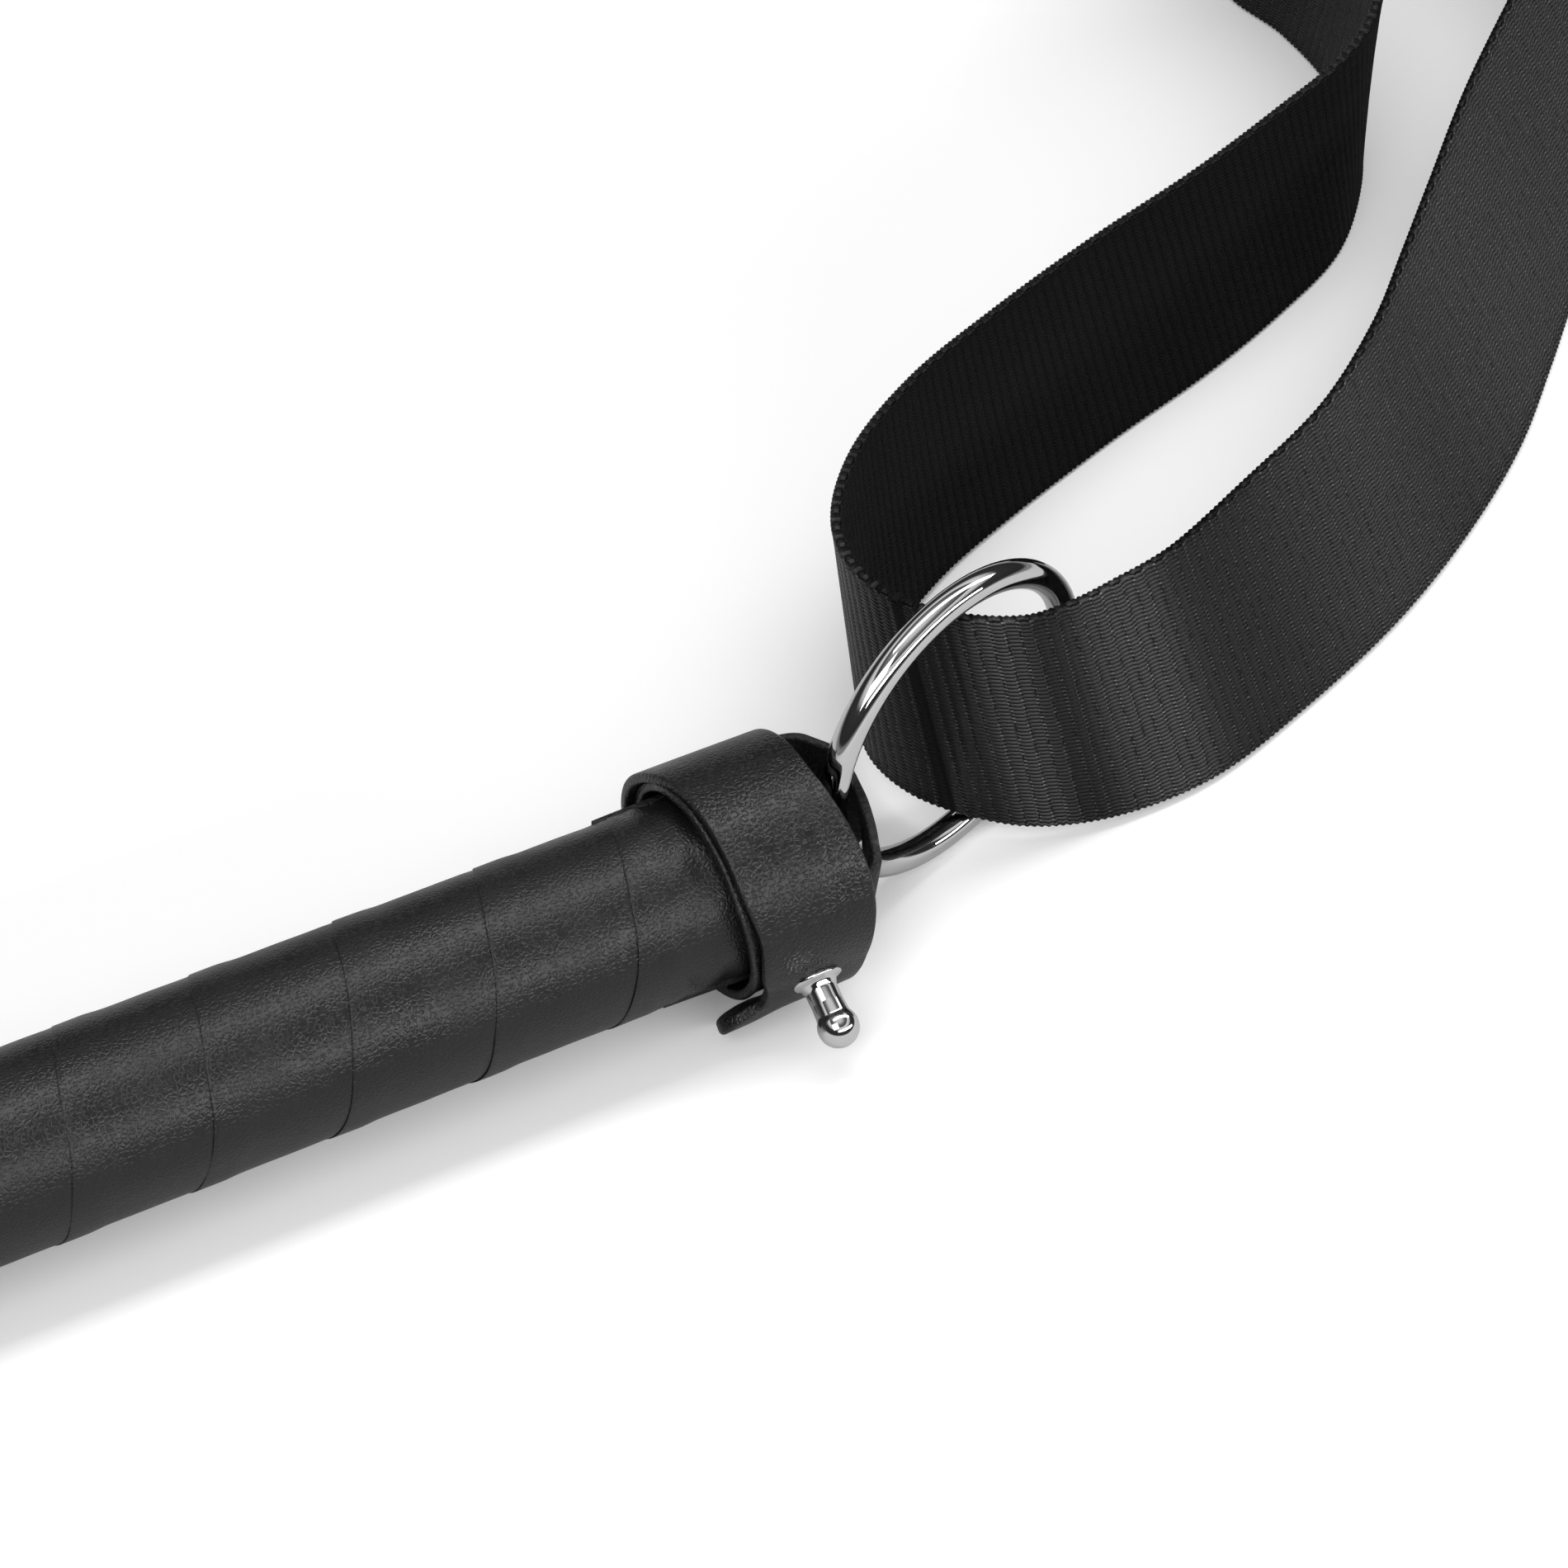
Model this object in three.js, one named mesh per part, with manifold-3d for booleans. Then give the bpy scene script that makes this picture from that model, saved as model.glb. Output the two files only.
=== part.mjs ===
// A short riding crop lying on a flat surface, in millimetres, +Z up.
// The shaft axis runs along X, with the butt end, its ring and its wrist strap towards +X and the keeper towards -X.
// The pieces are placed with x = 0 at the end of the butt collar and y = z = 0 on the shaft axis.
// The last lines move the whole group so that the origin is at the bottom centre of its box.
import * as THREE from "three";
import { mergeVertices } from "three/addons/utils/BufferGeometryUtils.js";
import Module from "manifold-3d";

const degrees = THREE.MathUtils.degToRad;
const smooth = (t) => THREE.MathUtils.smoothstep(t, 0, 1);
const mix = THREE.MathUtils.lerp;

// ---- Driving dimensions ----
const GAP = 0.3; // clearance between pieces that touch
const GRIP_RADIUS = 12.5; // over the leather tape
const TAPE_THICKNESS = 0.9;
const TAPE_PITCH = 18.5;
const DOWEL_RADIUS = GRIP_RADIUS - TAPE_THICKNESS - GAP;
const DOWEL_END = -6; // the collar stands past the end of the wood
const GRIP_LENGTH = 216;
const COLLAR_WIDTH = 17;
const COLLAR_THICKNESS = 1.3;
const COLLAR_RADIUS = 16.75; // over the outer turn, and the height of the shaft axis above the floor
const ROD_RADIUS = 3;
const ROD_DEPTH = 150; // how far the rod runs into the handle
const KEEPER_FLEX_GAP = 1.2; // between the bound leather and the flap, where the leather bends
const SHAFT_LENGTH = 196; // from the hand stop to the keeper
const COVER_RADIUS = 4;
const KEEPER_LENGTH = 96;
const KEEPER_WIDTH = 42;
const KEEPER_LEATHER = 1.6;
const RING_WIRE = 2; // radius of the ring's wire
const RING_INSIDE = 20; // inside radius of the ring
const RING_TURN = degrees(18); // the ring's plane, turned about Z from the shaft axis
const RING_FORWARD = 21.8; // from the collar's end to the middle of the ring
const TAB_WIDTH = 17;
const TAB_LEATHER = 1.2;
const TAB_BULGE = 5.6; // how far the tab's loop stands out past the collar
const TAB_ROLL = degrees(8); // the loop sits turned about the shaft axis, higher on the far side
const STUD_TURN = degrees(115); // from the top, over the near side
const STUD_FLANGE = 3.45; // radius
const STUD_FLANGE_THICKNESS = 0.9;
const STUD_NECK = 2.1; // radius
const STUD_HEAD = 2.75; // radius of the ball
const STUD_REACH = 5.7; // from the flange's foot to the middle of the ball
const STRAP_WIDTH = 37;
const STRAP_THICKNESS = 1.4;
const STRAP_OVERLAP = 42; // where the two ends of the webbing are sewn together
const THREAD_RADIUS = 0.35;

const FLOOR = -COLLAR_RADIUS;
const HANDLE_FRONT = DOWEL_END - GRIP_LENGTH;
const KEEPER_ROOT = HANDLE_FRONT - SHAFT_LENGTH;

// ---- Materials ----
const finish = (color, roughness, metalness = 0) => new THREE.MeshStandardMaterial({ color, roughness, metalness });
const tapeLeather = () => finish(0x232323, 0.5);
const strapLeather = () => finish(0x1d1d1d, 0.55);
const polishedSteel = () => finish(0xd9dadc, 0.08, 1);
const webbingCloth = () => finish(0x141414, 0.7);
const blackThread = () => finish(0x101010, 0.75);

// ---- Geometry helpers ----
const wasm = await Module();
wasm.setup();

function toSolid(geometry) {
  const bare = geometry.clone();
  bare.deleteAttribute("normal");
  bare.deleteAttribute("uv");
  const merged = mergeVertices(bare, 1e-4);
  const vertProperties = new Float32Array(merged.getAttribute("position").array);
  const triVerts = new Uint32Array(merged.index.array);
  return new wasm.Manifold(new wasm.Mesh({ numProp: 3, vertProperties, triVerts }));
}

function toGeometry(solid) {
  const { vertProperties, triVerts } = solid.getMesh();
  const geometry = new THREE.BufferGeometry();
  geometry.setAttribute("position", new THREE.BufferAttribute(vertProperties, 3));
  geometry.setIndex(new THREE.BufferAttribute(triVerts, 1));
  geometry.computeVertexNormals();
  return geometry;
}

function cut(geometry, ...tools) {
  let solid = toSolid(geometry);
  for (const tool of tools) {
    solid = solid.subtract(toSolid(tool));
  }
  return toGeometry(solid);
}

// A strip of even thickness laid along a surface: surface(u, v) gives the middle of the strip,
// with u from 0 to 1 along its length and v from -0.5 to 0.5 across it.
function sheet(surface, thickness, lengthSteps, widthSteps) {
  const box = new THREE.BoxGeometry(1, 1, 1, lengthSteps, widthSteps, 1);
  const position = box.getAttribute("position");
  const step = 1e-3;
  for (let i = 0; i < position.count; i++) {
    const u = position.getX(i) + 0.5;
    const v = position.getY(i);
    const along = surface(u + step, v).sub(surface(u - step, v));
    const across = surface(u, v + step).sub(surface(u, v - step));
    const normal = along.cross(across).normalize();
    const point = surface(u, v).addScaledVector(normal, thickness * position.getZ(i));
    position.setXYZ(i, point.x, point.y, point.z);
  }
  return box;
}

// A turned body on the shaft axis: each profile point is [x, radius], from the +X end to the -X end.
function turned(profile, sides = 32) {
  const points = profile.map(([x, radius]) => new THREE.Vector2(radius, -x));
  return new THREE.LatheGeometry(points, sides).rotateZ(Math.PI / 2);
}

// A sleeve on the shaft axis, open at both ends.
function sleeve(start, end, inside, outside, sides) {
  return turned([[start, inside], [start, outside], [end, outside], [end, inside], [start, inside]], sides);
}

// A turned body whose own axis stands radially out from the shaft axis: each point is [height above the axis, radius].
function radial(profile, x, turn, sides = 16) {
  const points = profile.map(([height, radius]) => new THREE.Vector2(radius, height));
  return new THREE.LatheGeometry(points, sides)
    .rotateX(Math.PI / 2)
    .rotateX(turn)
    .translate(x, 0, 0);
}

function around(x, radius, turn) {
  return new THREE.Vector3(x, -radius * Math.sin(turn), radius * Math.cos(turn));
}

const model = new THREE.Group();

function add(name, geometry, material) {
  const mesh = new THREE.Mesh(geometry, material);
  mesh.name = name;
  model.add(mesh);
}

// ---- Tacks and the stud's screw, which go radially into the wood ----
const TACK_HEAD = 1.3;
const TACK_SHANK = 0.6;
const TACK_DEPTH = 5;
const TACK_HEAD_THICKNESS = 0.6;
const TACK_POINT = 1; // length of the tapered point

function tack(x, turn, headTop, clearance = 0) {
  const headFoot = headTop - TACK_HEAD_THICKNESS - clearance;
  const shank = TACK_SHANK + clearance;
  return radial(
    [
      [headTop - TACK_DEPTH - clearance, 0],
      [headTop - TACK_DEPTH + TACK_POINT - clearance, shank],
      [headFoot - 0.3, shank],
      [headFoot, TACK_HEAD + clearance],
      [headTop + clearance, TACK_HEAD + clearance],
      [headTop + clearance, 0],
    ],
    x,
    turn,
    12,
  );
}

const TAB_OUTSIDE = DOWEL_RADIUS; // the tab's legs lie in pockets, flush with the wood
const tackSeats = {
  tape_tack_front: [HANDLE_FRONT + 8, degrees(40), GRIP_RADIUS - 0.3],
  tape_tack_butt: [DOWEL_END - 6.5, degrees(-12), GRIP_RADIUS - 0.3],
  tab_tack_near: [DOWEL_END - 19, Math.PI / 2 + TAB_ROLL, TAB_OUTSIDE - 0.1],
  tab_tack_far: [DOWEL_END - 19, -Math.PI / 2 + TAB_ROLL, TAB_OUTSIDE - 0.1],
};
const tackHole = (name) => tack(...tackSeats[name], GAP);

const STUD_X = -COLLAR_WIDTH / 2;
const SCREW_RADIUS = 1.5;
const SCREW_INNER = 3; // the screw's point is this far from the shaft axis
const SCREW_POINT = 1.5; // length of its tapered point
const HOLE_PAST = 1.8; // how far the tool that cuts a hole for it reaches past its outer end
const FLANGE_FOOT = COLLAR_RADIUS + GAP;

function studScrew(clearance = 0) {
  const outerEnd = FLANGE_FOOT - GAP + (clearance > 0 ? HOLE_PAST : 0);
  return radial(
    [
      [SCREW_INNER - clearance, 0],
      [SCREW_INNER + SCREW_POINT - clearance, SCREW_RADIUS + clearance],
      [outerEnd, SCREW_RADIUS + clearance],
      [outerEnd, 0],
    ],
    STUD_X,
    STUD_TURN,
    16,
  );
}

// ---- The rod, its cover and the wooden handle ----
function buildShaft() {
  const rodEnd = KEEPER_ROOT + 5;
  const rodStart = HANDLE_FRONT + ROD_DEPTH;
  const rod = turned([[rodStart, 0], [rodStart, ROD_RADIUS], [rodEnd, ROD_RADIUS], [rodEnd, 0]], 20);
  add("core_rod", rod, finish(0x8d8f86, 0.45));

  const capStart = rodEnd + 6;
  const capEnd = rodEnd - 2;
  const tipCap = turned(
    [
      [capStart, ROD_RADIUS + GAP],
      [capStart, COVER_RADIUS],
      [capEnd + 1, COVER_RADIUS],
      [capEnd, COVER_RADIUS - 1],
      [capEnd, 0],
      [rodEnd - GAP, 0],
      [rodEnd - GAP, ROD_RADIUS + GAP],
      [capStart, ROD_RADIUS + GAP],
    ],
    20,
  );
  add("tip_cap", tipCap, finish(0x151515, 0.5));

  const coverFront = capStart + GAP;
  add(
    "shaft_cover",
    sleeve(HANDLE_FRONT - 10, coverFront, ROD_RADIUS + GAP, COVER_RADIUS, 24),
    finish(0x161616, 0.6),
  );

  const dowel = turned(
    [[DOWEL_END, 0], [DOWEL_END, DOWEL_RADIUS], [HANDLE_FRONT, DOWEL_RADIUS], [HANDLE_FRONT, 0]],
    48,
  );
  const bore = turned(
    [
      [rodStart + GAP, 0],
      [rodStart + GAP, ROD_RADIUS + GAP],
      [HANDLE_FRONT - 1, ROD_RADIUS + GAP],
      [HANDLE_FRONT - 1, 0],
    ],
    20,
  );
  const pocketDepth = TAB_LEATHER + 2 * GAP;
  const pocket = (side) =>
    sheet(
      (u, v) => {
        const turn = side * (Math.PI / 2 + (v * (TAB_WIDTH + 2)) / DOWEL_RADIUS) + TAB_ROLL;
        return around(mix(DOWEL_END + 1, TAB_LEG_END - 0.5, u), DOWEL_RADIUS - pocketDepth / 2 + 0.5, turn);
      },
      pocketDepth + 1,
      1,
      12,
    );
  const holes = Object.keys(tackSeats).map(tackHole);
  add(
    "handle_dowel",
    cut(dowel, bore, pocket(1), pocket(-1), studScrew(GAP), ...holes),
    finish(0xb08a5a, 0.6),
  );
}

// ---- The leather tape: one strip wound in a left-handed helix from the hand stop to the butt ----
const TAPE_END = DOWEL_END - 4;
const TAPE_TURNS = (TAPE_END - HANDLE_FRONT) / TAPE_PITCH - 1;

function tapeSurface(u, v) {
  const turns = TAPE_TURNS * u;
  const x = TAPE_END - TAPE_PITCH / 2 - turns * TAPE_PITCH + v * (TAPE_PITCH - GAP);
  return around(x, GRIP_RADIUS - TAPE_THICKNESS / 2, turns * 2 * Math.PI);
}

function buildTape() {
  const strip = sheet(tapeSurface, TAPE_THICKNESS, Math.round(TAPE_TURNS * 18), 1);
  const holes = ["tape_tack_front", "tape_tack_butt"].map(tackHole);
  add("grip_tape", cut(strip, studScrew(GAP), ...holes), tapeLeather());
}

// ---- The welded ring, standing on edge ----
const RING_RADIUS = RING_INSIDE + RING_WIRE;
const ringCentre = new THREE.Vector3(RING_FORWARD, 5.6, FLOOR + RING_RADIUS + RING_WIRE);

function buildRing() {
  const ring = new THREE.TorusGeometry(RING_RADIUS, RING_WIRE, 10, 48)
    .rotateX(Math.PI / 2)
    .rotateZ(RING_TURN)
    .translate(...ringCentre);
  add("o_ring", ring, polishedSteel());
}

// How far the middle of the ring's wire is along the shaft axis, on the side held by the tab.
function ringWireAt(height) {
  const drop = height - ringCentre.z;
  const back = Math.sqrt(RING_RADIUS ** 2 - drop ** 2);
  return { x: ringCentre.x - back * Math.cos(RING_TURN), slant: back / RING_RADIUS };
}

// ---- The tab: a leather strip looped over the end of the wood, round the ring's wire, with a leg on each side ----
const TAB_LEG_END = DOWEL_END - 26;
const TAB_LEG_RADIUS = TAB_OUTSIDE - TAB_LEATHER / 2;
const TAB_EXIT = -3; // where the loop comes out of the collar
const TAB_EXIT_RADIUS = 12.4;
const TAB_SEAT = DOWEL_END - 3; // where the legs are down in their pockets

function tabSurface(u, v) {
  const side = u < 0.5 ? 1 : -1; // near leg, then far leg
  const t = Math.abs(u - 0.5) * 2; // 0 at the middle of the loop, 1 at the end of a leg
  const height = v * TAB_WIDTH;
  const loopShare = 0.5;
  const exitTurn = Math.asin(height / TAB_EXIT_RADIUS);
  if (t < loopShare) {
    const angle = (t / loopShare) * (Math.PI / 2);
    const wire = ringWireAt(height);
    const bulge = Math.max(TAB_BULGE, wire.x + RING_WIRE / wire.slant + TAB_LEATHER / 2 + 2 * GAP);
    return new THREE.Vector3(
      mix(TAB_EXIT, bulge, Math.cos(angle) ** 0.8),
      -side * TAB_EXIT_RADIUS * Math.cos(exitTurn) * Math.sin(angle),
      height,
    ).applyAxisAngle(new THREE.Vector3(1, 0, 0), TAB_ROLL);
  }
  const x = mix(TAB_EXIT, TAB_LEG_END, (t - loopShare) / (1 - loopShare));
  const seated = smooth((TAB_EXIT - x) / (TAB_EXIT - TAB_SEAT));
  const radius = mix(TAB_EXIT_RADIUS, TAB_LEG_RADIUS, seated);
  return around(x, radius, side * (Math.PI / 2 - mix(exitTurn, height / TAB_LEG_RADIUS, seated)) + TAB_ROLL);
}

function buildTab() {
  const strip = sheet(tabSurface, TAB_LEATHER, 44, 8);
  const holes = ["tab_tack_near", "tab_tack_far"].map(tackHole);
  add("ring_tab", cut(strip, studScrew(GAP), ...holes), strapLeather());
}

// ---- The collar: a thicker leather strip wound nearly twice round the butt, its free end left as a tongue ----
const COLLAR_START_TURN = degrees(-490);
const COLLAR_END_TURN = degrees(186);
const COLLAR_CLIMB_START = degrees(-176); // the strip climbs over its own start
const COLLAR_CLIMB_END = degrees(-134);
const COLLAR_START_RADIUS = COLLAR_RADIUS - 1.5 * COLLAR_THICKNESS - 2 * GAP;

function collarSurface(u, v) {
  const turn = mix(COLLAR_START_TURN, COLLAR_END_TURN, u);
  const climb = smooth((turn - COLLAR_CLIMB_START) / (COLLAR_CLIMB_END - COLLAR_CLIMB_START));
  const radius = mix(COLLAR_START_RADIUS, COLLAR_RADIUS - COLLAR_THICKNESS / 2, climb);
  return around(-COLLAR_WIDTH / 2 + v * (COLLAR_WIDTH - 1), radius, turn);
}

function buildCollar() {
  const strip = sheet(collarSurface, COLLAR_THICKNESS, 96, 1);
  add("butt_collar", cut(strip, studScrew(GAP)), strapLeather());
}

function buildStud() {
  const top = FLANGE_FOOT + STUD_FLANGE_THICKNESS;
  const bevel = 0.35;
  const profile = [
    [FLANGE_FOOT, 0],
    [FLANGE_FOOT, STUD_FLANGE],
    [top - bevel, STUD_FLANGE],
    [top, STUD_FLANGE - bevel],
    [top, STUD_NECK],
  ];
  const neckAngle = Math.acos(STUD_NECK / STUD_HEAD);
  const steps = 8;
  for (let i = 0; i <= steps; i++) {
    const angle = mix(-neckAngle, Math.PI / 2, i / steps);
    const height = FLANGE_FOOT + STUD_REACH + STUD_HEAD * Math.sin(angle);
    profile.push([height, i === steps ? 0 : STUD_HEAD * Math.cos(angle)]);
  }
  add("collar_stud", radial(profile, STUD_X, STUD_TURN, 24), polishedSteel());
  add("stud_screw", studScrew(), finish(0x9a9a9c, 0.3, 1));
}

// ---- The wrist strap: webbing standing on edge, passed through the ring and sewn into a loop ----
// Each station is [x, y, lean, lift]: the lower edge's place, how far the upper edge leans
// into the loop in degrees, and how far the lower edge is off the floor.
const strapStations = [
  [23.7, 6.3, 0, 4.9],
  [30.8, 1.6, 4, 3.2],
  [38, -0.6, 9, 2],
  [47, -1.6, 14, 1.1],
  [60, -0.8, 18, 0.6],
  [79, 5, 22, 0.45],
  [98, 13, 24, 0.45],
  [117, 23.6, 29, 0.45],
  [133, 34.8, 34, 0.45],
  [147, 47.4, 35, 0.45],
  [163, 62.8, 35, 0.45],
  [180, 78.5, 33, 0.45],
  [195, 95, 27, 0.45],
  [204, 114, 19, 0.2],
  [205, 136, 11, 0.2],
  [196, 156, 4, 0.2],
  [180, 166.5, 0, 0.2],
  [163, 163, -2, 0.2],
  [152.3, 149, -3, 0.2],
  [154.4, 134.5, -3, 0.2],
  [154.2, 120.5, -2, 0.2],
  [149.3, 104.5, 0, 0.2],
  [141.3, 92.8, -1, 0.2],
  [132, 84, -4, 0.2],
  [118, 77, -6, 0.2],
  [100, 69.9, -7, 0.2],
  [80, 63.6, -7, 0.2],
  [60, 56.6, -7, 0.3],
  [44, 49.5, -7, 0.7],
  [30, 39.8, -7, 1.5],
  [21.8, 29.5, -6, 2.7],
  [18.9, 20.5, -4, 3.8],
  [20, 12.6, -2, 4.6],
];
const strapEdge = new THREE.CatmullRomCurve3(
  strapStations.map(([x, y, , lift]) => new THREE.Vector3(x, y, FLOOR + lift)),
  true,
  "centripetal",
);
const strapLean = new THREE.CatmullRomCurve3(
  strapStations.map(([x, y, lean]) => new THREE.Vector3(x, y, lean)),
  true,
  "centripetal",
);
const strapLength = strapEdge.getLength();
const SEAM_START = 0.44; // share of the loop where the sewn overlap begins

function strapPoint(share, height, outward) {
  const t = strapEdge.getUtoTmapping(((share % 1) + 1) % 1);
  const point = strapEdge.getPoint(t);
  const tangent = strapEdge.getTangent(t);
  const inward = new THREE.Vector3(-tangent.y, tangent.x, 0).normalize();
  const lean = degrees(strapLean.getPoint(t).z);
  point.addScaledVector(inward, height * Math.sin(lean) - outward * Math.cos(lean));
  point.z += height * Math.cos(lean) + outward * Math.sin(lean);
  return point;
}

// One strip with its two ends overlapping: the outer end steps off the inner end by its own thickness.
function strapSurface(u, v) {
  const overlap = STRAP_OVERLAP / strapLength;
  const share = SEAM_START + u * (1 + overlap);
  const past = (u * (1 + overlap) - 1) / overlap + 0.35; // rises from 0 just before the overlap begins
  const outward = smooth(past / 0.3) * (STRAP_THICKNESS + GAP);
  return strapPoint(share, (v + 0.5) * STRAP_WIDTH, outward);
}

function buildStrap() {
  add("wrist_strap", sheet(strapSurface, STRAP_THICKNESS, 120, 1), webbingCloth());
}

// The stitching is one thread sewn as a box with a cross, on the outside of the overlap.
function buildStitching() {
  const corner = (along, height) =>
    strapPoint(SEAM_START + along / strapLength, height, 1.5 * STRAP_THICKNESS + 2 * GAP + THREAD_RADIUS + 0.15);
  const far = STRAP_OVERLAP - 4;
  const low = 5;
  const high = STRAP_WIDTH - 5;
  const corners = [[4, low], [far, low], [far, high], [4, high], [5, low + 4], [far - 4, high - 4]];
  const points = [];
  for (let i = 0; i + 1 < corners.length; i++) {
    for (let k = 0; k < 8; k++) {
      points.push(corner(mix(corners[i][0], corners[i + 1][0], k / 8), mix(corners[i][1], corners[i + 1][1], k / 8)));
    }
  }
  points.push(corner(...corners[corners.length - 1]));
  add("strap_stitching", thread(points, THREAD_RADIUS, 60), blackThread());
}

// A thin thread along a smooth curve through the points.
function thread(points, radius, steps) {
  const section = new THREE.Shape().absarc(0, 0, radius, 0, 2 * Math.PI);
  const extrudePath = new THREE.CatmullRomCurve3(points, false, "centripetal");
  return new THREE.ExtrudeGeometry(section, { steps, extrudePath, curveSegments: 4, bevelEnabled: false });
}

// ---- The hand stop and the tapered cap at the front of the handle ----
function buildHandleFront() {
  const width = 14;
  const back = HANDLE_FRONT + width;
  const inside = GRIP_RADIUS + GAP;
  const profile = [[back, inside]];
  const steps = 10;
  for (let i = 0; i <= steps; i++) {
    const angle = (Math.PI * i) / steps;
    const x = HANDLE_FRONT + width / 2 + (width / 2) * Math.cos(angle);
    profile.push([x, inside + 0.6 + (COLLAR_RADIUS - inside - 0.6) * Math.sin(angle)]);
  }
  profile.push([HANDLE_FRONT, inside], [back, inside]);
  add("hand_stop", turned(profile, 48), strapLeather());

  const capFront = HANDLE_FRONT - 30;
  const capBack = HANDLE_FRONT - GAP;
  const boreRadius = COVER_RADIUS + GAP;
  const cap = [
    [capBack, ROD_RADIUS + GAP],
    [capBack, GRIP_RADIUS],
    [capBack - 2, GRIP_RADIUS + 0.5],
    [capBack - 5, GRIP_RADIUS - 0.5],
    [capBack - 12, 8],
    [capBack - 20, 6],
    [capFront, 5.2],
    [capFront, boreRadius],
    [HANDLE_FRONT - 10 + GAP, boreRadius],
    [HANDLE_FRONT - 10 + GAP, ROD_RADIUS + GAP],
    [capBack, ROD_RADIUS + GAP],
  ];
  add("handle_cap", turned(cap, 32), finish(0x1b1b1b, 0.35));
}

// ---- The keeper: a folded leather flap bound to the end of the shaft ----
const KEEPER_CLOSE = 0.4; // half the space between the two plies

// Half the width of the flap at a distance from its root.
function keeperHalfWidth(distance) {
  const shoulder = smooth(distance / 26);
  const tip = THREE.MathUtils.clamp((distance - (KEEPER_LENGTH - 16)) / 16, 0, 1);
  return mix(6, KEEPER_WIDTH / 2, shoulder) - 7 * (1 - Math.sqrt(1 - 0.9 * tip * tip));
}

function keeperSurface(u, v) {
  const side = u < 0.5 ? 1 : -1; // upper ply, then lower ply
  const t = 1 - Math.abs(u - 0.5) * 2; // 0 at the root, 1 at the fold
  const foldRadius = KEEPER_CLOSE + KEEPER_LEATHER / 2;
  const foldShare = 0.96;
  const straight = KEEPER_LENGTH - foldRadius - KEEPER_LEATHER / 2;
  if (t > foldShare) {
    const angle = ((t - foldShare) / (1 - foldShare)) * (Math.PI / 2);
    const y = v * 2 * keeperHalfWidth(straight);
    const x = KEEPER_ROOT - straight - foldRadius * Math.sin(angle);
    return new THREE.Vector3(x, y, side * foldRadius * Math.cos(angle));
  }
  const distance = (t / foldShare) * straight;
  return new THREE.Vector3(KEEPER_ROOT - distance, v * 2 * keeperHalfWidth(distance), side * foldRadius);
}

function buildKeeper() {
  add("keeper_flap", sheet(keeperSurface, KEEPER_LEATHER, 50, 2), strapLeather());

  // One thread sewn round the upper ply, open towards the shaft.
  const inset = 3.5;
  const lift = KEEPER_CLOSE + KEEPER_LEATHER + GAP + THREAD_RADIUS;
  const firstStitch = 14;
  const lastStitch = KEEPER_LENGTH - 7;
  const points = [];
  const steps = 18;
  for (let i = -steps; i <= steps; i++) {
    const distance = mix(firstStitch, lastStitch, Math.sin((1 - Math.abs(i) / steps) * (Math.PI / 2)));
    const side = Math.sign(i) * Math.min(1, Math.abs(i) / 5) ** 0.5;
    points.push(new THREE.Vector3(KEEPER_ROOT - distance, side * (keeperHalfWidth(distance) - inset), lift));
  }
  add("keeper_stitching", thread(points, THREAD_RADIUS, 44), blackThread());

  const wrapInside = COVER_RADIUS + GAP;
  const wrapOutside = wrapInside + 1.2;
  const wrapBack = KEEPER_ROOT + 26;
  const wrap = sleeve(wrapBack, KEEPER_ROOT + KEEPER_FLEX_GAP, wrapInside, wrapOutside, 24);
  add("keeper_wrap", wrap, strapLeather());

  // The whipping is modelled as its turns side by side.
  const turns = 9;
  const turnWidth = 1;
  const whippingBack = wrapBack - 4;
  const whippingInside = wrapOutside + GAP;
  const whipping = [[whippingBack, whippingInside]];
  for (let i = 0; i < turns; i++) {
    const start = whippingBack - i * turnWidth;
    whipping.push([start - turnWidth * 0.25, whippingInside + turnWidth]);
    whipping.push([start - turnWidth * 0.75, whippingInside + turnWidth]);
    whipping.push([start - turnWidth, whippingInside + turnWidth / 2]);
  }
  whipping.push([whippingBack - turns * turnWidth, whippingInside], [whippingBack, whippingInside]);
  add("keeper_whipping", turned(whipping, 16), blackThread());
}

// ---- Assembly ----
buildShaft();
buildTape();
buildRing();
buildTab();
buildCollar();
buildStud();
for (const [name, seat] of Object.entries(tackSeats)) {
  add(name, tack(...seat), finish(0xb79b5c, 0.35, 1));
}
buildStrap();
buildStitching();
buildHandleFront();
buildKeeper();

// The origin is at the bottom centre of the object's box.
const crop = new THREE.Group();
crop.name = "riding_crop";
crop.add(model);
const bounds = new THREE.Box3().setFromObject(model);
const middle = bounds.getCenter(new THREE.Vector3());
model.position.set(-middle.x, -middle.y, -bounds.min.z);

export default crop;
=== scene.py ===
import math
import bmesh
import bpy
import numpy as np
from mathutils import Matrix, Vector


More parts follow.
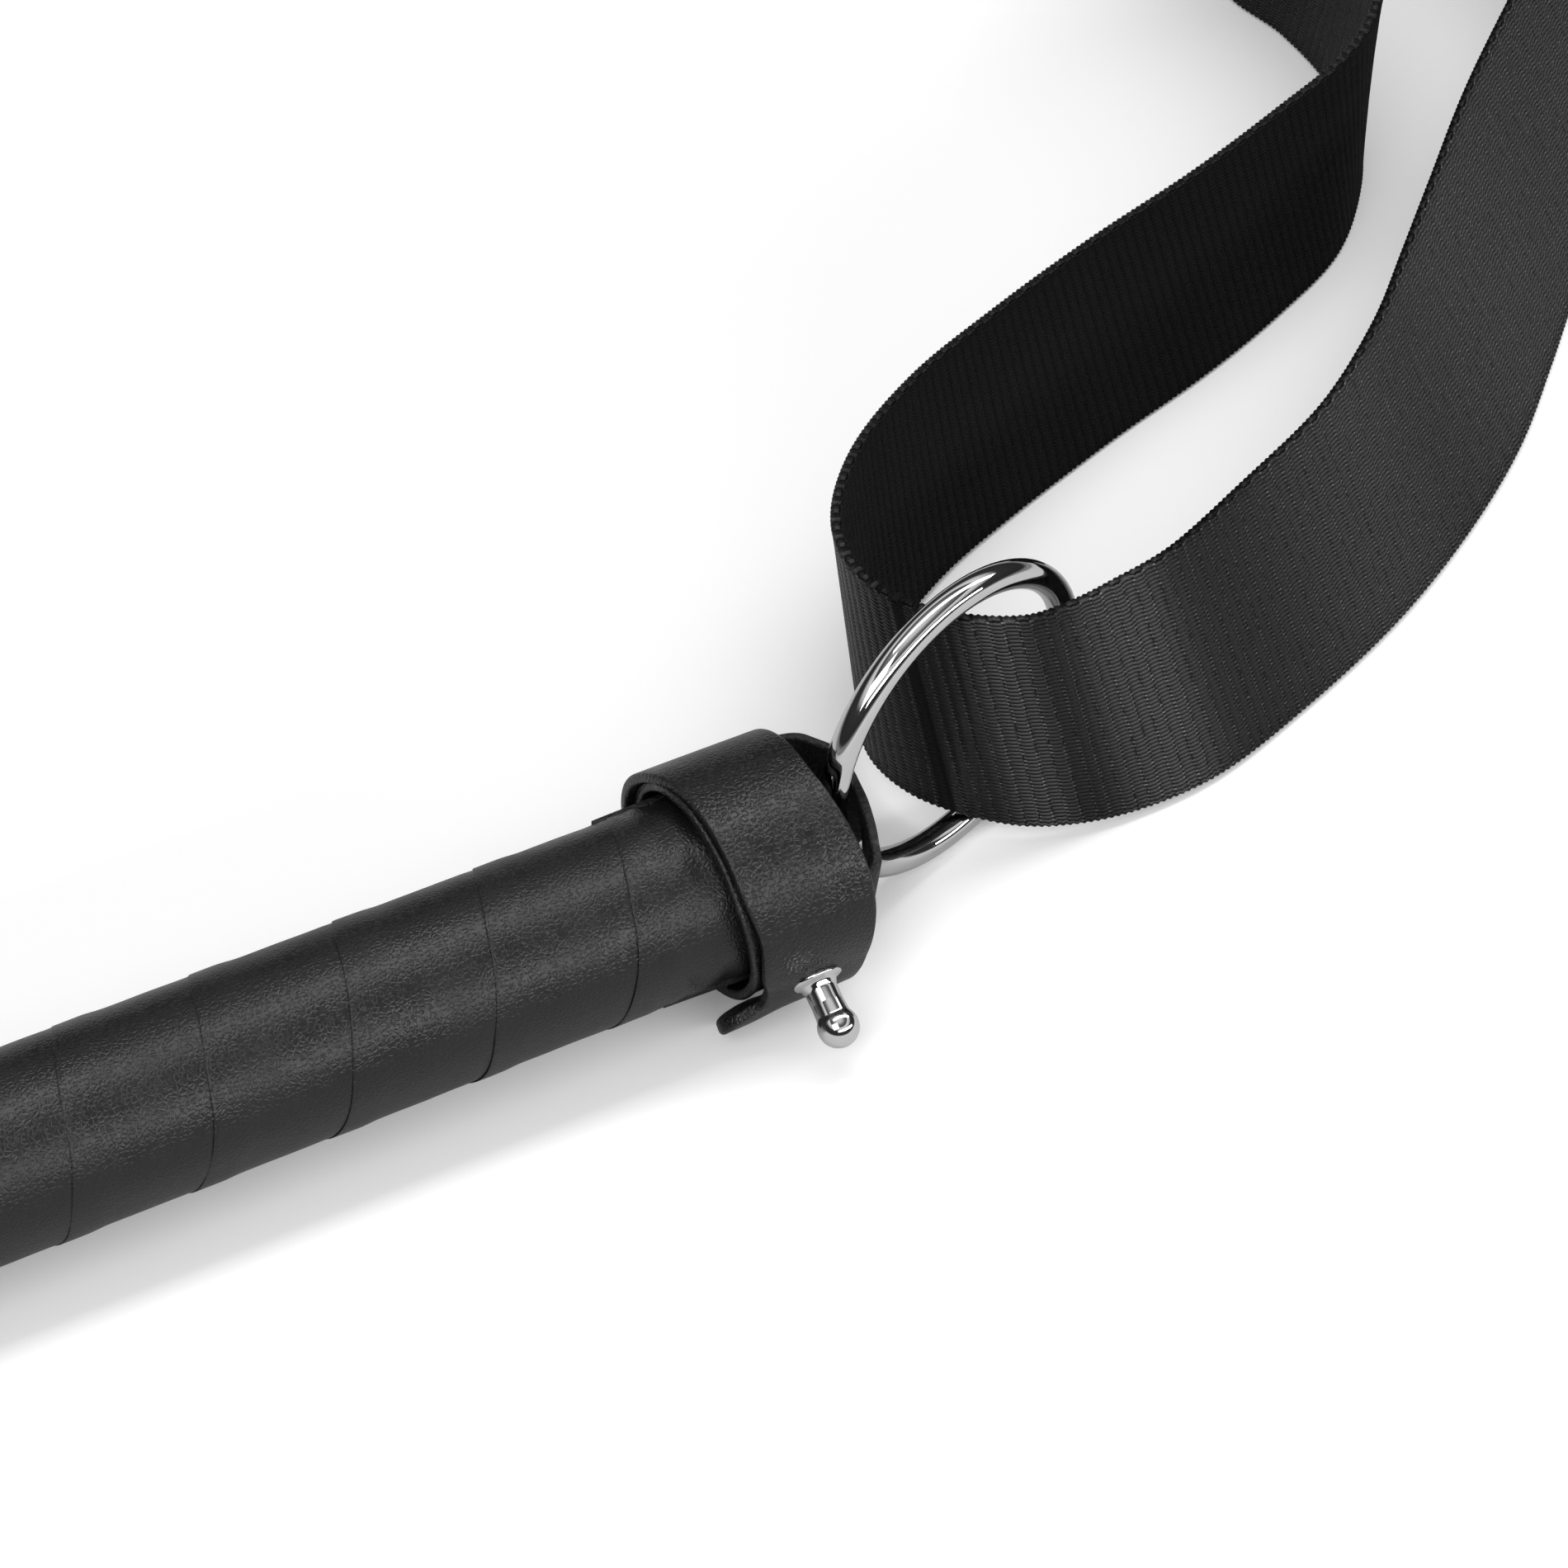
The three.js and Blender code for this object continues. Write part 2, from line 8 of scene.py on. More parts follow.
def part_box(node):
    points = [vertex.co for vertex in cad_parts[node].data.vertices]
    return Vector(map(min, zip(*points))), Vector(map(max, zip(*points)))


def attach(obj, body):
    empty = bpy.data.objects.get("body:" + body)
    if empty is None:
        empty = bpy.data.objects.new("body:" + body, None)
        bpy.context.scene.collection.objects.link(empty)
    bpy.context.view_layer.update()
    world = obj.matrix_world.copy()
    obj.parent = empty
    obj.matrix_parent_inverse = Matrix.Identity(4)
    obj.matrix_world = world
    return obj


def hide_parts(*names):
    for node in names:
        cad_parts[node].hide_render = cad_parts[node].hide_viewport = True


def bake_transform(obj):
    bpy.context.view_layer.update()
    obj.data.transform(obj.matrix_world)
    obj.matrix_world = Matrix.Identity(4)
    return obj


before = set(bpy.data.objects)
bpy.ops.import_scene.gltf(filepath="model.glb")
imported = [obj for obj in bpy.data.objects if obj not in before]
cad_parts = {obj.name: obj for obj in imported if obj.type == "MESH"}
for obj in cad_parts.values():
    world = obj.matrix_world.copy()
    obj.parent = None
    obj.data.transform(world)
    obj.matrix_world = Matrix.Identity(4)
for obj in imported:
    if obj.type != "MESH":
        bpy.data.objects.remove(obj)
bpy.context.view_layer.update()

MM = 0.001

# ---- Driving dimensions, in millimetres ----
# Shapes are drawn in the handle's own frame: the shaft axis is X, and x = 0 is the end of the collar's seat.
CLEARANCE = 0.5  # from the CAD collar's end to x = 0
GRIP_RADIUS = 12.5
FLOOR = -16.75  # height of the surface that the crop lies on
TAPE_PITCH = 18.5
TAPE_LAP = 3.5  # how far each turn lies over the one before
TAPE_STEP = 0.15  # how far a lapped edge stands proud
TAPE_FIRST_SEAM = -10
TAPE_TURNS = (-0.6, 12.1)  # from under the collar to under the hand stop
HANDLE_FRONT = -222
HAND_STOP_WIDTH = 14
HAND_STOP_RISE = 3.4
COLLAR_INNER_RADIUS = 14.3
COLLAR_OUTER_RADIUS = 16.0
COLLAR_LEATHER = 1.4
RING_WIRE = 2  # radius
RING_RADIUS = 22  # to the middle of the wire
RING_TURN = math.radians(18)  # the ring's plane, turned about Z from the shaft axis
RING_CENTRE = np.array([21.8, 5.6, FLOOR + RING_RADIUS + RING_WIRE])
TAB_LEATHER = 1.2
TAB_WIDTH = 15
STUD_X = -8.5
STUD_TURN = math.radians(115)  # from the top, over the near side
STUD_FLANGE = 3.6  # radius
STUD_NECK = 2.15  # radius
STUD_BALL = 2.75  # radius
STUD_REACH = 6.9  # from the leather to the middle of the ball
STRAP_WIDTH = 37
STRAP_THICKNESS = 1.4
STRAP_OVERLAP = 42
STRAP_GAP = 0.3  # between the two layers of the sewn overlap
SEAM_START = 0.44  # share of the loop where the overlap begins
STITCH_PITCH = 3.0
KEEPER_STITCH_PITCH = 3.2
RIB_PITCH = 2.0
FLOAT_PITCH = 0.64  # of the webbing's floats, across it
WEFT_SLANT = 9  # how far the weft leans near the ring, over the strap's width
BEAD_PITCH = 1.0  # of the selvedge
KEEPER_ROOT = -418
KEEPER_LENGTH = 96
KEEPER_WIDTH = 42
KEEPER_LEATHER = 1.6
KEEPER_CLOSE = 0.4  # half the gap between the keeper's two plies
KEEPER_ROUND_RADIUS = 5.5  # where the keeper is bound to the shaft
STITCH_INSET = 3.5
SHAFT_ENDS = (-406.5, -232.2)
BRAID_RADIUS = 3.62
BRAID_LAY = 26.0  # length along the shaft of one turn of a strand
STRANDS_EACH_WAY = 8

collar_low, collar_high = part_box("butt_collar")
axis_low, axis_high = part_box("core_rod")
origin = np.array([
    collar_high.x / MM + CLEARANCE,
    (axis_low.y + axis_high.y) / 2 / MM,
    (axis_low.z + axis_high.z) / 2 / MM,
])
scene = bpy.context.scene


# ---- Numbers and curves ----
def smooth(t):
    t = np.clip(t, 0, 1)
    return t * t * (3 - 2 * t)


def mix(a, b, t):
    return a + (b - a) * t


def stack(x, y, z):
    x, y, z = np.broadcast_arrays(x, y, z)
    return np.stack([x, y, z], axis=-1).astype(float)


def around(x, radius, turn):
    """A point at an angle from the top, over the near side."""
    return stack(x, -radius * np.sin(turn), radius * np.cos(turn))


def unit(vectors):
    return vectors / np.maximum(np.linalg.norm(vectors, axis=-1, keepdims=True), 1e-12)


def eased(keys, at):
    """Smooth values through (place, value) keys."""
    places = np.array([k[0] for k in keys], float)
    values = np.array([k[1] for k in keys], float)
    slopes = np.gradient(values, places)
    index = np.clip(np.searchsorted(places, at) - 1, 0, len(places) - 2)
    span = places[index + 1] - places[index]
    t = np.clip((at - places[index]) / span, 0, 1)
    a, b = values[index], values[index + 1]
    ma, mb = slopes[index] * span, slopes[index + 1] * span
    return (
        (2 * t**3 - 3 * t**2 + 1) * a
        + (t**3 - 2 * t**2 + t) * ma
        + (3 * t**2 - 2 * t**3) * b
        + (t**3 - t**2) * mb
    )


def spline(points, t, closed=False):
    """A centripetal Catmull-Rom curve through the points; t is from 0 to 1."""
    points = np.array(points, float)
    count = len(points)
    spans = count if closed else count - 1
    place = np.asarray(t, float) * spans
    index = np.floor(place).astype(int)
    if not closed:
        index = np.clip(index, 0, spans - 1)
    w = (place - index)[..., None]

    def corner(k):
        if closed:
            return points[(index + k) % count]
        inside = np.clip(index + k, 0, count - 1)
        beyond = (index + k - inside)[..., None]
        step = np.where(beyond < 0, points[1] - points[0], points[-1] - points[-2])
        return points[inside] + beyond * step

    a, b, c, d = (corner(k) for k in (-1, 0, 1, 2))
    ab, bc, cd = (
        np.maximum(np.sum((q - p) ** 2, axis=-1, keepdims=True) ** 0.25, 1e-4)
        for p, q in ((a, b), (b, c), (c, d))
    )
    start = ((b - a) / ab - (c - a) / (ab + bc) + (c - b) / bc) * bc
    end = ((c - b) / bc - (d - b) / (bc + cd) + (d - c) / cd) * bc
    return (
        b
        + start * w
        + (-3 * b + 3 * c - 2 * start - end) * w**2
        + (2 * b - 2 * c + start + end) * w**3
    )


def ripple(x, y, seed):
    """A smooth irregular wave, about -1 to 1, with a wavelength near 6 in the units of x and y."""
    random = np.random.default_rng(seed)
    total = 0
    for _ in range(7):
        angle = random.uniform(0, 2 * math.pi)
        pace = random.uniform(0.6, 1.8)
        phase = random.uniform(0, 2 * math.pi)
        total = total + np.sin(pace * (x * math.cos(angle) + y * math.sin(angle)) + phase)
    return total / 4


# ---- Mesh building ----
def link_object(name, data):
    made = bpy.data.objects.new(name, data)
    scene.collection.objects.link(made)
    return made


class Build:
    """Collects grids of points into one mesh, with a UV map in millimetres."""

    def __init__(self):
        self.points = []
        self.uvs = []
        self.marks = []
        self.faces = []
        self.flat = []
        self.count = 0

    def grid(self, points, wrap_u=False, wrap_v=False, uv=None, caps=False, mark=None):
        nu, nv = points.shape[:2]
        first = self.count
        ids = first + np.arange(nu * nv).reshape(nu, nv)
        self.points.append(points.reshape(-1, 3))
        if uv is None:
            uv = np.zeros((nu, nv, 2))
        self.uvs.append(uv.reshape(-1, 2))
        self.marks.append(np.zeros(nu * nv) if mark is None else mark.ravel())
        self.count += nu * nv
        iu = np.arange(nu if wrap_u else nu - 1)
        iv = np.arange(nv if wrap_v else nv - 1)
        a = ids[iu][:, iv]
        b = ids[(iu + 1) % nu][:, iv]
        c = ids[(iu + 1) % nu][:, (iv + 1) % nv]
        d = ids[iu][:, (iv + 1) % nv]
        self.faces += np.stack([a, b, c, d], -1).reshape(-1, 4).tolist()
        self.flat += [False] * (len(iu) * len(iv))
        if caps:
            self.faces += [ids[0][::-1].tolist(), ids[-1].tolist()]
            self.flat += [True, True]

    def mesh(self, name, material):
        points = (np.concatenate(self.points) + origin) * MM
        mesh = bpy.data.meshes.new(name)
        mesh.from_pydata(points.tolist(), [], self.faces)
        mesh.materials.append(material)
        return mesh

    def finish(self, name, material, body, slot, *nodes):
        """One piece, in place of its CAD nodes; it rides on a body when one is given. Its slot is not used.
        """
        mesh = self.mesh(name, material)
        mesh.polygons.foreach_set("use_smooth", [not f for f in self.flat])
        loops = np.zeros(len(mesh.loops), int)
        mesh.loops.foreach_get("vertex_index", loops)
        layer = mesh.uv_layers.new(name="UVMap")
        layer.data.foreach_set("uv", np.concatenate(self.uvs)[loops].ravel())
        # Painted light for the webbing: bands of painted sheen on its outer face, fading to painted shade on
        # its inner face.
        painted_light = mesh.attributes.new("painted_light", "FLOAT", "POINT")
        painted_light.data.foreach_set("value", np.concatenate(self.marks).astype(np.float32))
        shell = bmesh.new()
        shell.from_mesh(mesh)
        bmesh.ops.recalc_face_normals(shell, faces=shell.faces)
        shell.to_mesh(mesh)
        shell.free()
        piece = link_object(name, mesh)
        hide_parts(*nodes)
        if body:
            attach(piece, body)
        return piece


def rounded_section(width, thickness, across, corner, steps=3):
    """Points round a strip's section: how far across, 0 to 1, and how far through, -1 to 1."""
    share = corner / width
    depth = corner / (thickness / 2)
    run = np.linspace(share, 1 - share, across)
    bend = np.linspace(0, math.pi / 2, steps + 1)[1:-1]
    top = np.stack([run, np.ones(across)], 1)
    arc = np.stack([1 - share + share * np.sin(bend), 1 - depth + depth * np.cos(bend)], 1)
    side = [[1, 0]] if depth >= 1 else [[1, 1 - depth], [1, depth - 1]]
    right = np.concatenate([arc, side, arc[::-1] * [1, -1]])
    return np.concatenate([top, right, top[::-1] * [1, -1], right * [-1, -1] + [1, 0]])


def strip(build, middle, us, section, thickness, length, width, painted_light=None):
    """A strip of leather or webbing: middle(u, v) is its middle surface, section its rounded section."""
    u, v = np.meshgrid(us, section[:, 0], indexing="ij")
    step = 1e-4
    along = middle(u + step, v) - middle(u - step, v)
    across = middle(u, v + step) - middle(u, v - step)
    normal = unit(np.cross(along, across))
    thick = thickness(u, v) if callable(thickness) else thickness
    offset = section[:, 1] * thick / 2
    points = middle(u, v) + normal * offset[..., None]
    uv = np.stack([u * length, v * width], -1)
    # The mark is painted light: the painted sheen along the strip on its outer face, fading through the
    # thickness to nothing, which is painted shade, on its inner face.
    mark = None
    if painted_light:
        mark = painted_light(u) * np.broadcast_to(0.5 + 0.5 * section[:, 1], u.shape)
    build.grid(points, wrap_v=True, uv=uv, caps=True, mark=mark)


def tube(build, path, radius, up, sides=8, closed=False, squeeze=1.0):
    """A tube along a path, flattened along up by squeeze; radius is a number or one for each point."""
    path = np.array(path, float)
    ahead = np.roll(path, -1, 0) - np.roll(path, 1, 0) if closed else np.gradient(path, axis=0)
    ahead = unit(ahead)
    up = unit(up - ahead * np.sum(up * ahead, -1, keepdims=True))
    side = np.cross(ahead, up)
    angle = np.linspace(0, 2 * math.pi, sides, endpoint=False)
    radius = np.broadcast_to(radius, len(path))[:, None, None]
    ring = side[:, None] * np.cos(angle)[:, None] + up[:, None] * np.sin(angle)[:, None] * squeeze
    build.grid(path[:, None] + ring * radius, wrap_u=closed, wrap_v=True, caps=not closed)


def turned(build, profile, sides=96, centre=(0, 0, 0), axis=(1, 0, 0), per_point=None):
    """A profile of (along, radius) turned about an axis."""
    axis = unit(np.array(axis, float))
    first = unit(np.cross(axis, [0.3, 1, 0.2]))
    second = np.cross(axis, first)
    angle = np.linspace(0, 2 * math.pi, sides, endpoint=False)
    profile = np.array(profile, float)
    radius = np.maximum(profile[:, 1], 0.001)[:, None] * np.ones(sides)
    along = profile[:, 0][:, None] * np.ones(sides)
    if per_point:
        along, radius = per_point(along, radius, angle[None, :])
    ring = first * np.cos(angle)[:, None] + second * np.sin(angle)[:, None]
    points = np.array(centre) + along[..., None] * axis + radius[..., None] * ring[None]
    uv = np.stack([along, angle[None] * radius], -1)
    build.grid(points, wrap_v=True, uv=uv, caps=True)


def rounded(corners, radius, steps=5):
    """A profile with its inner corners rounded."""
    points = [np.array(p, float) for p in corners]
    out = [points[0]]
    for before, here, after in zip(points, points[1:], points[2:]):
        back, on = before - here, after - here
        reach = min(radius, 0.45 * np.linalg.norm(back), 0.45 * np.linalg.norm(on))
        start, end = here + unit(back) * reach, here + unit(on) * reach
        for t in np.linspace(0, 1, steps):
            out.append((1 - t) ** 2 * start + 2 * t * (1 - t) * here + t**2 * end)
    out.append(points[-1])
    return out


def stitch(build, start, end, normal, radius, lift):
    """One stitch: a short thread that rises from the surface and goes back into it."""
    t = np.linspace(0, 1, 7)[:, None]
    start, end, normal = (np.array(p, float) for p in (start, end, normal))
    path = start + (end - start) * t + normal * (lift * np.sin(math.pi * t) ** 0.5 - lift * 0.4)
    tube(build, path, radius, np.broadcast_to(normal, path.shape), sides=7)


# ---- Materials ----
class Nodes:
    """Short ways to make the nodes of one material."""

    def __init__(self, name):
        self.material = bpy.data.materials.new(name)
        self.material.use_nodes = True
        self.tree = self.material.node_tree
        self.shader = self.tree.nodes["Principled BSDF"]

    def add(self, kind, links=(), **settings):
        node = self.tree.nodes.new(kind)
        for key, value in settings.items():
            setattr(node, key, value)
        for socket, source in dict(links).items():
            self.put(node.inputs[socket], source)
        return node

    def put(self, socket, source):
        if isinstance(source, bpy.types.NodeSocket):
            self.tree.links.new(source, socket)
        else:
            socket.default_value = source

    def math(self, operation, a, b=0.0, c=0.0):
        node = self.add("ShaderNodeMath", {0: a, 1: b, 2: c}, operation=operation)
        return node.outputs[0]

    def noise(self, coordinates, scale, detail=3.0, rough=0.55):
        links = {"Vector": coordinates, "Scale": scale, "Detail": detail, "Roughness": rough}
        return self.add("ShaderNodeTexNoise", links).outputs["Fac"]

    def ramp(self, value, low, high, start=0.0, end=1.0):
        links = {"Value": value, "From Min": start, "From Max": end, "To Min": low, "To Max": high}
        return self.add("ShaderNodeMapRange", links).outputs["Result"]

    def blend(self, factor, a, b):
        node = self.add("ShaderNodeMix", data_type="RGBA")
        self.put(node.inputs[0], factor)
        self.put(node.inputs[6], a)
        self.put(node.inputs[7], b)
        return node.outputs[2]

    def bump(self, height, distance, strength=1.0, normal=None):
        links = {"Height": height, "Distance": distance, "Strength": strength}
        if normal is not None:
            links["Normal"] = normal
        return self.add("ShaderNodeBump", links).outputs["Normal"]

    def place(self):
        return self.add("ShaderNodeTexCoord").outputs["Object"]

    def set(self, **values):
        for key, value in values.items():
            self.put(self.shader.inputs[key.replace("_", " ")], value)


def grey(value, warm=1.0):
    return (value * warm, value, value, 1)


def leather(name, tone, grain, relief, gloss, worn):
    """Grained black leather: pebbles with creases between them, soft mottling and paler rubbed edges.

    tone is its grey, grain the size of a pebble and relief its height in mm, worn the grey of a rubbed edge.
    """
    n = Nodes(name)
    place = n.place()
    pull = n.noise(place, 900, 2)
    drift = n.add("ShaderNodeTexNoise", {"Vector": place, "Scale": 700}).outputs["Color"]
    shift = n.add("ShaderNodeVectorMath", {0: drift, 3: grain * 0.7 * MM}, operation="SCALE")
    shifted = n.add("ShaderNodeVectorMath", {0: place, 1: shift.outputs[0]}, operation="ADD")
    links = {"Vector": shifted.outputs[0], "Scale": 1 / (grain * MM)}
    cells = n.add("ShaderNodeTexVoronoi", links, feature="DISTANCE_TO_EDGE")
    links = {"Value": cells.outputs["Distance"], "From Max": 0.28}
    pebble = n.add("ShaderNodeMapRange", links, interpolation_type="SMOOTHSTEP").outputs["Result"]
    fine = n.noise(place, 6000, 3)
    broad = n.noise(place, 90, 4)
    height = n.math("ADD", pebble, n.math("MULTIPLY", fine, 0.12))
    height = n.math("ADD", height, n.math("MULTIPLY", pull, 0.3))
    edge = n.add("ShaderNodeNewGeometry").outputs["Pointiness"]
    rubbed = n.ramp(edge, 0.0, 1.0, 0.515, 0.6)
    mottled = n.blend(broad, grey(tone * 0.8), grey(tone * 1.2))
    scuffed = n.math("MULTIPLY", rubbed, n.ramp(fine, 0.3, 1.0, 0.3, 0.7))
    n.set(Base_Color=n.blend(scuffed, mottled, grey(worn)))
    uneven = n.ramp(broad, gloss - 0.05, gloss + 0.07, 0.3, 0.7)
    n.set(Roughness=n.math("ADD", uneven, n.math("MULTIPLY", scuffed, 0.15)))
    n.set(IOR=1.5, Specular_IOR_Level=0.42)
    soft = n.bump(broad, 0.00025, 0.3)
    n.set(Normal=n.bump(height, relief * MM, 0.9, soft))
    return n.material


def webbing():
    """Black nylon webbing: ribs across it, made of short floats. Its colour carries painted light: painted
    sheen in bands on the outer face, painted shade on the inner face, and painted glints as small pale dots
    between the ribs.
    """
    n = Nodes("black_nylon_webbing")
    separate = n.add("ShaderNodeSeparateXYZ", {0: n.add("ShaderNodeTexCoord").outputs["UV"]})
    along, across = separate.outputs[0], separate.outputs[1]
    ribs = n.math("DIVIDE", along, RIB_PITCH)
    rib_place = n.math("FRACT", ribs)
    rib_number = n.math("FLOOR", ribs)
    rib = n.math("POWER", n.math("SINE", n.math("MULTIPLY", rib_place, math.pi)), 0.6)
    float_place = n.math("ADD", n.math("DIVIDE", across, FLOAT_PITCH), n.math("MULTIPLY", rib_number, 0.5))
    wave = n.math("ABSOLUTE", n.math("COSINE", n.math("MULTIPLY", float_place, math.pi)))
    floats = n.math("POWER", wave, 0.8)
    valley = n.ramp(rib, 1.0, 0.0, 0.35, 0.7)
    pick_wave = n.math("SINE", n.math("MULTIPLY", across, 2 * math.pi / FLOAT_PITCH))
    picks = n.math("MULTIPLY", n.math("GREATER_THAN", pick_wave, 0.35), valley)
    float_tops = n.math("MULTIPLY", n.ramp(floats, 0.0, 1.0, 0.4, 0.85), n.ramp(rib, 0.2, 1.0, 0.3, 0.8))
    height = n.math("MULTIPLY", rib, n.ramp(floats, 0.3, 1.0))
    height = n.math("ADD", height, n.math("MULTIPLY", picks, 0.35))
    place = n.place()
    lint = n.noise(place, 2500, 3)
    broad = n.noise(place, 60, 3)
    # Painted light: painted sheen in bands on the outer face, and painted shade where it falls to nothing on
    # the inner face.
    painted_light = n.add("ShaderNodeAttribute", attribute_name="painted_light").outputs["Fac"]
    outer = n.math("GREATER_THAN", painted_light, 0.03)
    # At full painted sheen the floats' tops take a pale painted highlight; with none, the near black colours
    # are painted shade.
    painted_sheen_floats = n.blend(float_tops, grey(0.0006), grey(0.078))
    threads_and_painted_light = n.blend(painted_light, n.blend(height, grey(0.0002), grey(0.003)), painted_sheen_floats)
    # Painted glints: small pale dots between the ribs, only on the outer face and strongest where the painted
    # sheen is.
    glint_strength = n.math("MULTIPLY", outer, n.ramp(painted_light, 0.4, 1.0, 0.1, 0.9))
    painted_glints = n.math("MULTIPLY", n.math("MULTIPLY", picks, n.ramp(lint, 0.0, 0.9, 0.4, 0.6)), glint_strength)
    n.set(Base_Color=n.blend(painted_glints, threads_and_painted_light, grey(0.3)))
    n.set(IOR=1.5, Specular_IOR_Level=0.14)
    calendered = n.ramp(outer, 0.75, 0.32)
    n.set(Roughness=n.math("ADD", calendered, n.ramp(broad, -0.03, 0.04, 0.3, 0.7)))
    uneven = n.bump(lint, 0.00008, 0.5)
    n.set(Normal=n.bump(height, 0.0005, 1.0, uneven))
    return n.material


def chrome():
    """Polished nickel plate, with faint polishing haze."""
    n = Nodes("polished_nickel")
    place = n.place()
    haze = n.noise(place, 400, 4)
    n.set(Base_Color=n.blend(haze, grey(0.64), grey(0.7)), Metallic=1.0)
    n.set(Roughness=n.ramp(haze, 0.03, 0.08, 0.35, 0.7))
    n.set(Normal=n.bump(n.noise(place, 1200, 2), 0.00001, 0.15))
    return n.material


def thread(name, tone, twist=0.6):
    """Twisted thread: a slanting ply all round it."""
    n = Nodes(name)
    place = n.place()
    plies = n.add("ShaderNodeTexWave", {"Vector": place, "Scale": 1 / (twist * MM) / 3, "Distortion": 2.0})
    height = plies.outputs["Fac"]
    n.set(Base_Color=n.blend(height, grey(tone * 0.5), grey(tone * 1.4)))
    n.set(Roughness=n.ramp(n.noise(place, 3000), 0.4, 0.6), Sheen_Weight=0.1)
    n.set(Normal=n.bump(height, 0.00012, 0.8))
    return n.material


def moulded():
    """Satin moulded nylon with a fine spark-eroded texture."""
    n = Nodes("moulded_nylon")
    place = n.place()
    fine = n.noise(place, 3500, 4)
    broad = n.noise(place, 120, 3)
    n.set(Base_Color=n.blend(broad, grey(0.014), grey(0.022)))
    n.set(Roughness=n.ramp(fine, 0.3, 0.42, 0.3, 0.7))
    n.set(Normal=n.bump(fine, 0.00006, 0.5))
    return n.material


def wood():
    """Turned beech with its grain along the handle. Towards the butt, where it lies in shade under the collar
    and tab, it is coloured near black as painted shade; its front 20 mm are also coloured near black.
    """
    n = Nodes("turned_beech")
    place = n.place()
    stretch = n.add("ShaderNodeMapping", {"Vector": place, "Scale": (0.08, 1, 1)})
    rings = n.add("ShaderNodeTexWave", {"Vector": stretch.outputs[0], "Scale": 140.0, "Distortion": 5.0})
    fleck = n.noise(stretch.outputs[0], 1500, 4)
    timber = n.blend(rings.outputs["Fac"], (0.42, 0.26, 0.13, 1), (0.55, 0.37, 0.2, 1))
    timber = n.blend(n.ramp(fleck, 0, 0.5, 0.5, 0.8), timber, (0.3, 0.17, 0.08, 1))
    along = n.add("ShaderNodeSeparateXYZ", {0: place}).outputs[0]
    butt = (origin[0] - 18) * MM
    front = (origin[0] + HANDLE_FRONT + 20) * MM
    fade = 2 * MM
    # Painted shade: the butt end, under the collar and tab, is coloured near black; the front end is darkened
    # to near black too.
    painted_shade_butt = n.ramp(along, 0, 1, butt, butt + fade)
    darkened_front = n.ramp(along, 1, 0, front, front + fade)
    n.set(Base_Color=n.blend(n.math("MAXIMUM", painted_shade_butt, darkened_front), timber, grey(0.006)))
    n.set(Roughness=n.ramp(fleck, 0.5, 0.7), Normal=n.bump(fleck, 0.0001, 0.6))
    return n.material


def fibreglass():
    """Pultruded glass fibre: pale translucent resin with fibres along the rod."""
    n = Nodes("pultruded_fibreglass")
    place = n.place()
    stretch = n.add("ShaderNodeMapping", {"Vector": place, "Scale": (0.03, 1, 1)})
    fibres = n.noise(stretch.outputs[0], 5000, 4)
    n.set(Base_Color=n.blend(fibres, (0.36, 0.38, 0.32, 1), (0.55, 0.56, 0.5, 1)))
    n.set(Roughness=n.ramp(fibres, 0.3, 0.5), Normal=n.bump(fibres, 0.00008, 0.6))
    return n.material


def metal(name, dark, light, rough):
    """Plain turned metal with fine tool marks."""
    n = Nodes(name)
    place = n.place()
    marks = n.noise(place, 4000, 3)
    n.set(Base_Color=n.blend(marks, dark, light), Metallic=1.0)
    n.set(Roughness=n.ramp(marks, rough - 0.06, rough + 0.08), Normal=n.bump(marks, 0.00003, 0.5))
    return n.material


tape_leather = leather("tape_leather", 0.0075, 0.66, 0.038, 0.35, 0.02)
strap_leather = leather("strap_leather", 0.0065, 0.72, 0.052, 0.33, 0.035)
keeper_leather = leather("keeper_leather", 0.008, 0.72, 0.038, 0.36, 0.035)
flesh_leather = leather("dyed_flesh_side", 0.003, 1.2, 0.1, 0.62, 0.06)
webbing_cloth = webbing()
nickel = chrome()
sewing_thread = thread("sewing_thread", 0.02)
whipping_thread = thread("whipping_thread", 0.018, 0.8)
braid_thread = thread("braid_thread", 0.02, 0.45)
nylon = moulded()


# ---- The grip tape: one leather strip wound on, each turn lapping over the one before ----
def tape_seam(turns):
    """Where the lapped edge of the tape is: hand-wound, so its pitch wanders a little."""
    wander = -0.8 * (1 - np.cos(2 * math.pi * (turns - 0.9) / 6))
    fine = 0.18 * np.sin(2 * math.pi * turns * 1.7 + 1) + 0.1 * np.sin(2 * math.pi * turns * 5.3)
    return TAPE_FIRST_SEAM - TAPE_PITCH * turns + wander + fine


